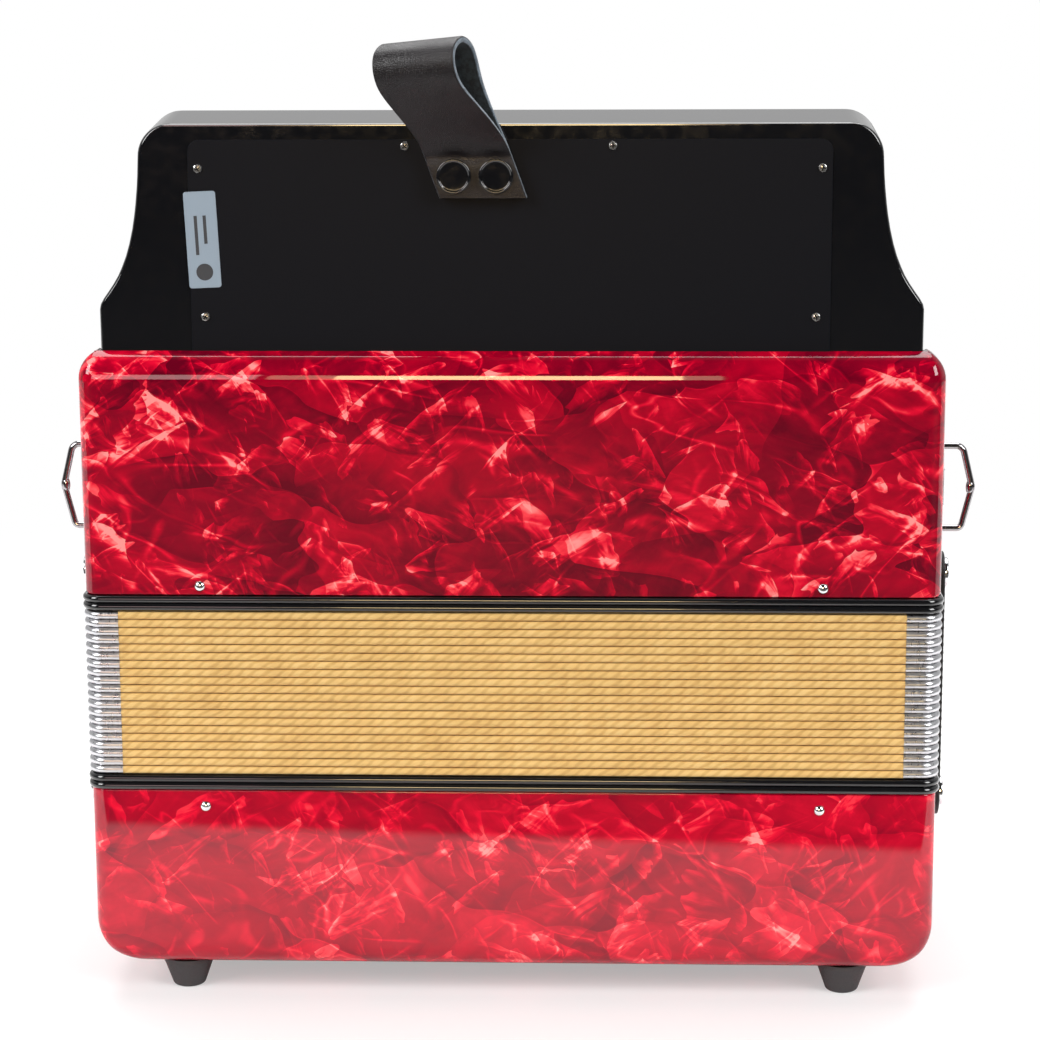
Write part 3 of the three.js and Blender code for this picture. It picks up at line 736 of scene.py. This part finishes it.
def guards(middle):
    """The four corner guards round a fold's rim, whose middle is at this height."""
    turns = sweep(-100, 100, 12)
    for corner in zip(*[corner_paths(0.5 - 1.42 * cos(a)) for a in turns]):
        lines = [[(x, y, middle + 1.52 * sin(a)) for x, y in path] for a, path in zip(turns, corner)]
        inner = [
            [(x * 0.994, y + (0.9 if y < DEPTH / 2 else -0.9), z) for x, y, z in line]
            for line in (lines[-1], lines[0])
        ]
        yield loft(lines + inner, closed=False, looped=True)


bellows_frame("bass")
bellows_frame("treble")
bellows()

# -------- treble end

SLOPE = tan(radians(11.5))
SLOPE_START = 14
FRONT_CURVE = 28
GRILLE_BOTTOM = 190
RIM_BACK, RIM_FRONT = 11.5, 3.0  # rounding of the top rims, along the back and from y 150 on
ARC_FALL = SLOPE / sqrt(1 + SLOPE * SLOPE)
CURVE_Y = DEPTH - FRONT_CURVE  # centre of the curve from the top to the front face
CURVE_Z = TREBLE_TOP - (CURVE_Y - SLOPE_START) * SLOPE - FRONT_CURVE * sqrt(1 + SLOPE * SLOPE)


def top_line(y):
    """Height of the treble end's top over y, from the back, with the curve down to the front face."""
    if y > CURVE_Y + FRONT_CURVE * ARC_FALL:
        return CURVE_Z + sqrt(max(FRONT_CURVE ** 2 - (y - CURVE_Y) ** 2, 0))
    return TREBLE_TOP - max(y - SLOPE_START, 0) * SLOPE


def treble_casing():
    ys = [CORNER + 2 + k * 6.0 for k in range(24)] + [152 + k * 2.0 for k in range(14)]
    ys = [y for y in ys if y < DEPTH - CORNER]
    outline = rectangle(-HALF, 0, HALF, DEPTH, CORNER, 8)
    # extra stations along both sides, in the order of the outline: back, right, front, left
    corners = len(outline) // 4
    parts = [outline[k * corners:(k + 1) * corners] for k in range(4)]
    around = parts[0] + [Vector((-HALF + 30 + k * 15, 0)) for k in range(18)]
    around += parts[1] + [Vector((HALF, y)) for y in ys]
    around += parts[2] + parts[3] + [Vector((-HALF, y)) for y in reversed(ys)]
    columns = []
    for i, here in enumerate(around):
        along = (around[(i + 1) % len(around)] - around[i - 1]).normalized()
        inwards = Vector((-along.y, along.x))
        front_wall = here.y > DEPTH - 0.5
        top = GRILLE_BOTTOM if front_wall else max(top_line(here.y), GRILLE_BOTTOM)
        section = wall_section(top, RIM_FRONT if here.y > 150 else RIM_BACK)
        columns.append([(*(here + inwards * depth_in), z) for depth_in, z in section])
    rings = [list(ring) for ring in zip(*columns)]
    parts = [loft(rings, looped=True)]
    piece("treble_casing_shell", parts, [PEARL], "treble", "treble_casing")


def wall_section(top, r):
    """The casing wall's (depth, height) line: up the outside, over the rim rounded by r, down inside."""
    line = [(WALL, TREBLE_BOTTOM), (0.35, TREBLE_BOTTOM), (0.0, TREBLE_BOTTOM + 0.5), (0.0, top - r - 0.01)]
    inner = (WALL, top - r + sqrt(max(r * r - (r - min(WALL, r)) ** 2, 0)))
    for angle in sweep(0, 81, 9):
        spot = (r * (1 - cos(angle)), top - r + r * sin(angle))
        line.append(inner if spot[0] > WALL else spot)
    return line + [inner, (WALL, TREBLE_BOTTOM + 20)]


SLOT_ROWS = (78, 104, 130)
SLOT_ENDS = (7, 137)
SLOT_R = 6


def grille_line():
    """The grille's line from back to front: along the sloping top, round the front edge and a little down."""
    line = [size("grille")[2] + k * 2.0 for k in range(55)]
    path = [(y, top_line(y)) for y in line if y < 161]
    return path + arc(CURVE_Y, CURVE_Z, FRONT_CURVE, 73, 0, 13) + [(DEPTH, GRILLE_BOTTOM + 0.3)]


def slot_depth(x, y):
    """How far a spot lies inside the nearest slot's outline; negative outside."""
    along = max(SLOT_ENDS[0] + SLOT_R - abs(x), abs(x) - SLOT_ENDS[1] + SLOT_R, 0)
    return SLOT_R - hypot(along, min(abs(y - row) for row in SLOT_ROWS))


def grille_sheet():
    """A bent sheet with six long slots. Cells crossed by a slot's end keep only their corners outside it."""
    half = size("grille")[1]
    path = grille_line()
    steps = [SLOT_R * sin(radians(18 * k)) for k in range(6)]
    ends = [SLOT_ENDS[0] + SLOT_R - d for d in steps] + [SLOT_ENDS[1] - SLOT_R + d for d in steps]
    xs = sorted({s * v for s in (-1, 1) for v in ends + [half]} | {float(v) for v in range(-125, 126, 10)})
    free = {y for y, _ in path[:-1] if slot_depth(SLOT_ENDS[1] - SLOT_R, y) < 0}
    ys = sorted(free | {row + s * d for row in SLOT_ROWS for s in (-1, 1) for d in steps})
    heights = dict(path[:-1])
    columns = [(y, heights.get(y) or top_line(y)) for y in ys] + [path[-1]]
    work = bmesh.new()
    grid = [[work.verts.new(at(x, y, z)) for x in xs] for y, z in columns]
    for i in range(len(columns) - 1):
        for j in range(len(xs) - 1):
            corners = ((i, j), (i, j + 1), (i + 1, j + 1), (i + 1, j))
            kept = [grid[a][b] for a, b in corners if slot_depth(xs[b], columns[a][0]) < 0.01]
            if len(kept) > 2:
                work.faces.new(kept)
    bmesh.ops.delete(work, geom=[v for v in work.verts if not v.link_faces], context="VERTS")
    bmesh.ops.recalc_face_normals(work, faces=work.faces)
    mesh = bpy.data.meshes.new("grille_sheet")
    work.to_mesh(mesh)
    work.free()
    mesh.materials.append(GRILLE_STEEL)
    obj = linked("grille_sheet", mesh)
    up = mesh.polygons[0].normal.z > 0
    solid = obj.modifiers.new("thickness", "SOLIDIFY")
    solid.thickness, solid.offset = 0.0016, -1.0 if up else 1.0
    bevel = obj.modifiers.new("edges", "BEVEL")
    bevel.width, bevel.segments, bevel.limit_method, bevel.angle_limit = 0.00035, 2, "ANGLE", radians(50)
    mesh.shade_smooth()
    obj.modifiers.new("normals", "WEIGHTED_NORMAL").keep_sharp = True
    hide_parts("grille")
    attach(obj, "treble")


def grille_screws():
    normal = Vector((0, SLOPE, 1)).normalized()
    head = [(0, -0.4), (2.2, -0.4), (2.3, 0.1), (2.0, 0.6), (1.2, 0.85), (0, 0.9)]
    places = [(side * 146, y) for side in (-1, 1) for y in (62, 91, 117, 148)] + [(0, 62), (0, 148)]
    for i, (x, y) in enumerate(places):
        parts = [turned(head, 24, normal, (x, y, top_line(y)))]
        piece(f"grille_screw_{i + 1}", parts, [SCREW], "treble", sharp=30)


BOARD_BACK = 7
BOARD_TOP = 331
PLATE_FACE = BOARD_BACK - 0.45
BASE, MIDDLE, FREE = 52.0, 44.5, 37.0  # front faces of the board's three steps, from below
BUTTON_R = 6.4
AXLE_Y, AXLE_Z = 24.0, 230.0
PIN_X, TREBLE_PIN_Z, BASS_PIN_Z = 115.3, 161.3, 76.2
LABEL_X, LABEL_Z, LABEL_TILT = -111.9, 289.2, 2.6
SHOULDER = [
    (150.7, 263.5), (150.3, 265.4), (149.1, 267.5), (147.3, 270.0), (145.3, 272.9), (143.4, 276.1),
    (141.7, 279.8), (140.2, 283.7), (138.9, 288.2), (137.7, 293.5), (136.6, 300.0), (135.5, 310.0),
]


def board_half(z):
    """Half the board's width at a height up to 335."""
    points = [(150.7, 200.0)] + SHOULDER + [(134.2, 335.0)]
    (xa, za), (xb, zb) = next(pair for pair in zip(points, points[1:]) if z <= pair[1][1])
    return xa + (xb - xa) * (z - za) / (zb - za)


def fingerboard():
    levels = [(z, BASE) for z in (212.0, 240.0, 255.0)] + [(z, BASE) for _, z in SHOULDER if z < 277]
    for z, before, after, between in (
        (279.0, BASE, MIDDLE, (283.0, 287.5, 293.0, 298.0)),
        (303.5, MIDDLE, FREE, (308.0, 312.0, 316.0)),
    ):
        levels += [(z - 1.6, before), (z - 0.7, before - 0.35), (z - 0.2, before - 0.9), (z, before - 1.7)]
        levels += [(z + 0.02, after)] + [(v, after) for v in between]
    corner, rise = 12.0, 3.4

    def ring(z, front, cut=0.0, pull=0.0):
        half = board_half(min(z, 319)) - cut - pull
        outline = rectangle(-half, BOARD_BACK + pull, half, front - pull, 1.6, 4)
        tilt = max(z - 300, 0) / 31 * rise
        return [(p.x, p.y, z + tilt * (p.y - BOARD_BACK) / 30) for p in outline]

    rings = [ring(z, front) for z, front in levels]
    for angle in sweep(0, 75, 10):
        z_last, cut = BOARD_TOP - corner + corner * sin(angle), corner * (1 - cos(angle))
        rings.append(ring(z_last, FREE, cut))
    # the top edge, rounded towards the back and the front
    for k in range(1, 6):
        angle = pi / 2 * k / 5
        z = z_last + (BOARD_TOP - z_last) * sin(angle)
        rings.append(ring(z, FREE, cut + 2.2 * k / 5, 1.3 * (1 - cos(angle))))
    parts = [loft(rings, caps=True)]
    piece("fingerboard_body", parts, [BLACK], "treble", "fingerboard", sharp=40)
    washer = [(4.5, -0.3), (4.5, 0.08), (5.3, 0.08), (5.4, -0.3)]
    for start, face in (("key_outer_", FREE), ("key_inner_", MIDDLE)):
        for name in named(start):
            origin = (centre(name)[0], face, size(name)[5] - BUTTON_R)
            piece(f"{name}_felt", [turned(washer, 24, Y, origin, True)], [FELT], "treble")


def key(name):
    """A treble key: white button, and the aluminium rocker with its felted wooden pallet."""
    x = centre(name)[0]
    row_z = size(name)[5] - BUTTON_R
    face, pallet = (FREE, 140) if "outer" in name else (MIDDLE, 95)
    low = face + 4.3
    y, z = AXLE_Y, AXLE_Z
    profile = [(0, y + 1), (3, y + 1), (3, low), (5.9, low)] + arc(6.0, low + 0.4, 0.4, -90, 0, 3)
    profile += [(BUTTON_R, low + 2.6)] + arc(5.0, low + 2.7, 1.4, 0, 72, 5)
    profile += [(3.4, low + 4.3), (1.6, low + 4.5), (0, low + 4.55)]
    piece(f"{name}_button", [turned(profile, 32, Y, (x, 0, row_z))], [WHITE], name)
    arm = 211.5
    lever = rounded([
        (y - 2.5, row_z + 4, 1), (y + 2.5, row_z + 4, 1), (y + 2.5, z + 6, 2), (y + 4.5, z + 3, 1),
        (y + 20, arm, 4), (pallet + 8, arm, 1), (pallet + 8, arm - 4.5, 1), (y + 17, arm - 4.5, 3),
        (y + 2, z - 4.5, 2), (y - 4, z - 4.5, 2), (y - 4.5, z + 3, 2), (y - 2.5, z + 6, 1),
    ], 3)
    parts = [slab(lever, x - 1.5, x + 1.5, along_x, 0.3, 2)]
    for half, reach, z0, z1, bevel in ((6.5, 14, 203.4, 207.4, 0.4), (6.3, 13.8, 202.35, 203.3, 0.2)):
        outline = rectangle(x - half, pallet - reach, x + half, pallet + reach, 1.2, 3)
        parts.append(slab(outline, z0, z1, along_z, bevel, 2))
    piece(f"{name}_rocker", parts, [SCREW, WOOD, FELT], name, replaces=name)


def cross_screw(x, y, z, r, turn):
    """A pan-head cross screw on a face that looks towards the back, as a head and a black cross of painted
    shade where its recess would be.
    """
    head = [(0, -0.3), (r, -0.3), (r, 0.25), (r * 0.86, 0.62), (r * 0.5, 0.85), (0, 0.9)]
    parts = [turned(head, 28, -Y, (x, y, z))]
    for a, b in ((0.62, 0.17), (0.17, 0.62)):
        bar = spun(rectangle(-a * r, -b * r, a * r, b * r), turn, x, z)
        parts.append(slab(bar, y - 0.93, y - 0.5, along_y, 0.05, 1))
    return parts


def spun(outline, angle, x, z):
    """The outline turned about its origin, then moved."""
    c, s = cos(angle), sin(angle)
    return [Vector((x + p.x * c - p.y * s, z + p.x * s + p.y * c)) for p in outline]


def back_plate():
    x0, x1, _, y1, z0, z1 = size("fingerboard_back_plate")
    outline = rounded([(x0, z0, 0.5), (x1, z0, 0.5), (x1, z1, 4.5), (x0, z1, 4.5)], 8)
    parts = [slab(outline, PLATE_FACE, y1, along_y, 0.25, 2)]
    piece("back_plate_sheet", parts, [PLATE], "treble", "fingerboard_back_plate")
    screws = [(-113, 315), (113, 315), (-37.6, 323), (37.6, 323), (-111.5, 261), (111.5, 261)]
    for i, (x, z) in enumerate(screws):
        parts = cross_screw(x, PLATE_FACE, z, 1.65, 0.5 + 0.9 * i)
        # the second material paints the cross recess's shade
        piece(f"plate_screw_{i + 1}", parts, [SCREW, PAINTED_RECESS_SHADE], "treble", sharp=30)


def label():
    """A paper label with plain bars and a disc where the real one has its text."""
    disc = [Vector(spot) for spot in arc(0.1, -11.8, 3.1, 0, 360 - 360 / 28, 27)]
    parts = []
    for outline, rise, sunk, bevel in (
        (rectangle(-5.9, -17.6, 5.9, 17.6, 1.0, 4), 0.18, 0.0, 0.05),
        (rectangle(-2.6, -5.5, -1.4, 8.8), 0.21, 0.1, 0.02),
        (rectangle(0.7, -1.5, 1.9, 8.8), 0.21, 0.1, 0.02),
        (disc, 0.21, 0.1, 0.02),
    ):
        outline = spun(outline, radians(LABEL_TILT), LABEL_X, LABEL_Z)
        parts.append(slab(outline, PLATE_FACE - rise, PLATE_FACE - sunk, along_y, bevel, 1))
    piece("plate_label", parts, [PAPER, INK], "treble", sharp=30)


def bellows_pins():
    """Domed pins that hold the bellows frames, on the back and on the front."""
    dome = [(2.1 * cos(a), 0.1 + 1.5 * sin(a)) for a in sweep(0, 90, 7)[:-1]]
    head = [(0, -0.5), (2.1, -0.5)] + dome + [(0, 1.6)]
    for body, z in (("treble", TREBLE_PIN_Z), ("bass", BASS_PIN_Z)):
        for side, x in (("left", -PIN_X), ("right", PIN_X)):
            for face, y, axis in (("back", 0.0, -Y), ("front", DEPTH, Y)):
                piece(f"pin_{body}_{side}_{face}", [turned(head, 28, axis, (x, y, z))], [CHROME], body)


# the thumb strap is drawn upright, then twisted and leant, as its CAD solid is
THUMB_X, THUMB_Z, THUMB_WIDTH, THUMB_THICK = -12.0, 312.6, 31.5, 2.3
LOOP = [(4, 8), (9, 15), (18, 25), (26, 36), (25, 44), (17, 47.5), (9.5, 44), (6.4, 34), (4.4, 22), (2.4, 8)]


def spline(points, steps):
    """A Catmull-Rom curve through the points."""
    found = []
    padded = [points[0]] + points + [points[-1]]
    for i in range(1, len(padded) - 2):
        p0, p1, p2, p3 = (Vector(p) for p in padded[i - 1:i + 3])
        for k in range(steps):
            t = k / steps
            found.append(0.5 * (2 * p1 + (p2 - p0) * t + (2 * p0 - 5 * p1 + 4 * p2 - p3) * t * t
                                + (3 * p1 - p0 - 3 * p2 + p3) * t ** 3))
    return found + [Vector(points[-1])]


def place_thumb(across, out, up):
    t = ease(up, 8, 34)
    angle = radians(22) * t
    past = max(up - 16, 0)
    lean = 0.36 * up - 0.26 * past * past / (past + 12)
    return (
        THUMB_X + across * cos(angle) - out * sin(angle) - lean,
        BOARD_BACK - out * cos(angle) - across * sin(angle),
        THUMB_Z + up + across * 0.1 * t,
    )


def thumb_strap():
    near_tail = [(4.25, -8.0), (4.2, -3.0), (4.1, 3.0)]
    far_tail = [(1.55, 3.0), (1.5, -3.0), (1.5, -8.0)]
    line = spline(near_tail + LOOP + far_tail, 8)
    half, thick = THUMB_WIDTH / 2, THUMB_THICK / 2
    flat = [-half * 0.5, 0, half * 0.5]
    rim = [(half, thick - 0.55), (half - 0.12, thick - 0.2), (half - 0.5, thick)]
    edge = [(half, thick - 0.55), (half + 0.08, 0.1), (half, 0.3 - thick), (half - 0.35, -thick)]
    # each strip of the strap's section, as places across the strap and off its middle
    strips = {
        "outside": [(-a, off) for a, off in rim] + [(a, thick) for a in flat] + rim[::-1],
        "inside": [(a, -thick) for a in [0.35 - half] + flat + [half - 0.35]],
        "left": [(-a, off) for a, off in edge],
        "right": edge,
    }
    rings = {strip: [] for strip in strips}
    for i, here in enumerate(line):
        along = (line[min(i + 1, len(line) - 1)] - line[max(i - 1, 0)]).normalized()
        normal = Vector((along.y, -along.x))
        for strip, spots in strips.items():
            rings[strip].append([place_thumb(across, *(here + normal * off)) for across, off in spots])
    parts = [loft(found, closed=False) for found in rings.values()]
    for end in (0, -1):
        ends = rings["outside"][end] + rings["inside"][end][::-1]
        parts.append((ends, [tuple(range(len(ends)))], [[(0, 0)] * len(ends)]))
    skins = [LEATHER, SUEDE, CUT_EDGE]
    piece("thumb_strap_leather", parts, skins, "treble", "thumb_strap", sharp=50)


def snap_caps():
    profile = [(0, -0.6), (6.1, -0.6), (6.25, 0.6)] + arc(5.8, 1.15, 0.45, -10, 100, 7)
    profile += [(5.5, 1.5), (5.25, 1.2), (5.0, 1.12), (3.5, 1.14), (1.8, 1.16), (0, 1.16)]
    for node in named("thumb_strap_snap_"):
        x, _, z = centre(node)
        parts = [turned(profile, 40, -Y, (x, size(node)[3], z))]
        piece(f"{node}_cap", parts, [BLACK], "treble", node, sharp=60)


HINGE_X, HINGE_Y = HALF + 3.1, 50
STITCH_STEP, STITCH_LENGTH, THREAD = 3.2, 2.0, 0.28


def strap_ring(side, sign):
    node = f"strap_ring_{side}"
    bottom, top, corner, knee = 174, 206, 171.0, 174.9
    middle = (bottom + top) / 2
    loop = rounded([
        (HINGE_X, bottom, 2.0), (corner, bottom, 2.0), (knee, middle, 3.0),
        (corner, top, 3.2), (HINGE_X, top, 2.0),
    ], 7)
    wire = arc(0, 0, 1.25, 0, 337.5, 15)
    rings = []
    for i, here in enumerate(loop):
        along = (loop[(i + 1) % len(loop)] - loop[i - 1]).normalized()
        rings.append([(sign * (here.x + along.y * u), HINGE_Y + v, here.y - along.x * u) for u, v in wire])
    # the weld bulge at the knee
    bulge = [(1.62 * sin(a), -3.1 * cos(a)) for a in sweep(0, 180, 12)]
    parts = [loft(rings, looped=True), turned(bulge, 20, Z, (sign * (knee - 0.75), HINGE_Y, middle))]
    piece(f"{node}_wire", parts, [DARK_CHROME], node, node)


def strap_bracket(side, sign):
    node = f"strap_bracket_{side}"
    _, _, y0, y1, z0, z1 = size(node)
    face = sign * (HALF + 1.5)
    low, high = sorted((sign * (HALF + 0.05), face))
    tube = [(1.65, -7), (2.3, -7), (2.5, -6.8), (2.5, 6.8), (2.3, 7), (1.65, 7)]
    parts = [slab(rectangle(y0, z0, y1, z1, 3, 6), low, high, along_x, 0.4)]
    parts.append(turned(tube, 24, Z, (sign * HINGE_X, HINGE_Y, (z0 + z1) / 2), True))
    head = [(0, -0.2), (1.9, -0.2), (1.9, 0.2), (1.4, 0.7), (0, 0.95)]
    for z in (z0 + 4.5, z1 - 4.5):
        parts += [turned(head, 18, sign * X, (face, y, z)) for y in (y0 + 3.4, y1 - 3.4)]
    piece(f"{node}_plate", parts, [CHROME], "treble", node)


def bellows_strap(side, sign):
    node = f"bellows_strap_{side}"
    _, _, y0, y1, z0, z1 = size(node)
    face = HALF + 4.0
    outline = rectangle(y0, z0, y1, z1, 7.9, 10)
    low, high = sorted((sign * (HALF + 1.7), sign * face))
    parts = [slab(outline, low, high, along_x, 0.7, 4)]
    piece(f"{node}_leather", parts, [LEATHER], node, node)
    profile = [(0, -0.2), (5.4, -0.2), (5.5, 0.6)] + arc(5.0, 1.1, 0.5, 0, 90, 4)
    profile += [(4.5, 1.5), (4.2, 1.4), (3.6, 1.8), (2.2, 2.2), (0, 2.35)]
    studs = [turned(profile, 32, sign * X, (sign * face, (y0 + y1) / 2, z)) for z in (z1 - 8, 74)]
    piece(f"{node}_studs", studs, [CHROME], node)
    seam = inset(outline, 1.8)
    around = lengths([(p.x, p.y, 0) for p in seam], True)
    count = int(around[-1] / STITCH_STEP)
    stitches = [stitch(seam, around, around[-1] * k / count, sign, face) for k in range(count)]
    piece(f"{node}_stitches", stitches, [FELT], node)


def stitch(outline, around, start, sign, face):
    """One raised thread along the outline, on the strap's outer face."""
    def where(s):
        s %= around[-1]
        i = next(i for i in range(len(outline)) if s <= around[i + 1])
        t = (s - around[i]) / max(around[i + 1] - around[i], 1e-9)
        return outline[i].lerp(outline[(i + 1) % len(outline)], t)

    rings = []
    for k in range(5):
        spot = start + STITCH_LENGTH * k / 4
        p, q = where(spot), where(spot + 0.05)
        rise = THREAD * sin(pi * (k + 0.4) / 4.8)
        side = Vector((-(q - p).y, (q - p).x)).normalized() * THREAD
        low = sign * (face - 0.1)
        rings.append([
            (low, p.x - side.x, p.y - side.y),
            (sign * (face - 0.05 + rise), p.x, p.y),
            (low, p.x + side.x, p.y + side.y),
        ])
    return loft(rings, caps=True)


treble_casing()
grille_sheet()
grille_screws()
fingerboard()
for key_name in named("key_outer_", "key_inner_"):
    key(key_name)
back_plate()
label()
bellows_pins()
thumb_strap()
snap_caps()
for side_name, side_sign in (("left", -1), ("right", 1)):
    strap_ring(side_name, side_sign)
    strap_bracket(side_name, side_sign)
    bellows_strap(side_name, side_sign)

# -------- studio

floor_mesh = bpy.data.meshes.new("floor")
floor_mesh.from_pydata([(-40, -40, 0), (40, -40, 0), (40, 40, 0), (-40, 40, 0)], [], [(0, 1, 2, 3)])
floor = linked("floor", floor_mesh)


DARK_FROM = 0.196  # metres out from the casings' back plane, where the floor turns dark to reflections


def floor_material():
    """Pale floor that the camera sees as white with soft shadows.

    Out beyond the object's back it is dark to everything but the camera, as in the photograph's reflections.
    """
    n = material("floor")
    where = n.place()
    x, y = n.new("SeparateXYZ", {"Vector": where}).outputs[:2]
    seen = n.new("LightPath").outputs["Is Camera Ray"]
    near = n.smooth(n.minus(y, n.times(x, 0.1)), BACK - DARK_FROM - 0.02, BACK - DARK_FROM)
    n.set(Base_Color=n.mix(n.math("MAXIMUM", near, seen), (0.03,) * 3, (0.93,) * 3), Roughness=0.7)
    away = n.vector("LENGTH", n.vector("MULTIPLY", where, (1.0, 1.0, 0.0)))
    glow = n.new("Emission")
    keep = n.smooth(away, 0.25, 0.9, 0.42, 1.0)
    blend = n.new("MixShader", {0: n.times(keep, seen)})
    n.put(blend.inputs[1], n.shader.outputs[0])
    n.put(blend.inputs[2], glow.outputs[0])
    n.put(n.tree.nodes["Material Output"].inputs["Surface"], blend.outputs[0])
    return n.owner


floor_mesh.materials.append(floor_material())


def lamp(name, location, target, width, height, power, color=(1, 1, 1)):
    data = bpy.data.lights.new(name, "AREA")
    data.shape, data.size, data.size_y = "RECTANGLE", width, height
    data.energy, data.color = power, color
    obj = linked(name, data)
    obj.location = location
    obj.rotation_euler = (Vector(target) - Vector(location)).to_track_quat("-Z", "Y").to_euler()
    return obj


for name, x in (("left", -1.5), ("right", 1.5)):
    lamp(name, (x, -1.3, 1.3), (0, 0, 0.2), 0.9, 1.2, 37)
lamp("above", (0, 0.38, 1.9), (0, 0, 0.1), 1.6, 1.0, 28)
lamp("behind", (0, 1.5, 1.9), (0, 0, 0.2), 2.0, 0.8, 20)
# a room's openings, which only show as reflections
for name, x, width, height, power, tint in (
    ("window", -0.067, 0.32, 0.24, 5.4, (1.0, 0.74, 0.38)),
    ("sill", -0.08, 0.42, 0.28, 1.6, (1.0, 0.72, 0.5)),
    ("door", -0.42, 0.24, 0.32, 1.3, (1.0, 0.7, 0.7)),
):
    z = 0.35 + height / 2
    lamp(name, (x, -1.62, z), (x, 0, z), width, height, power, tint).visible_diffuse = False

# white to the camera, and to everything else brightest on the side of the instrument's front
studio = bpy.data.worlds.new("studio")
scene.world = studio
sky = Nodes(studio, "Background")
heading = sky.new("SeparateXYZ", {"Vector": sky.new("TexCoord").outputs["Generated"]})
ahead = sky.smooth(heading.outputs["Y"], -0.35, 0.3, 0.03, 0.62)
seen = sky.new("LightPath").outputs["Is Camera Ray"]
sky.set(Strength=sky.math("MAXIMUM", ahead, seen), Color=(1, 1, 1))

camera_data = bpy.data.cameras.new("camera")
camera = linked("camera", camera_data)
scene.camera = camera
camera_data.sensor_width = 36
camera_data.lens = 96.86  # fitted to the photograph, like the place and the three angles
camera_data.clip_start, camera_data.clip_end = 0.05, 50
turn = Matrix()
yaw, pitch, roll = 2.27, -11.5, -0.26
for angle, axis in ((yaw, "Z"), (90 + pitch, "X"), (roll, "Z")):
    turn @= Matrix.Rotation(radians(angle), 4, axis)
camera.matrix_world = Matrix.Translation(at(43.7, -1007.7, 391.9)) @ turn

scene.view_settings.view_transform = "Standard"
scene.view_settings.look = "None"
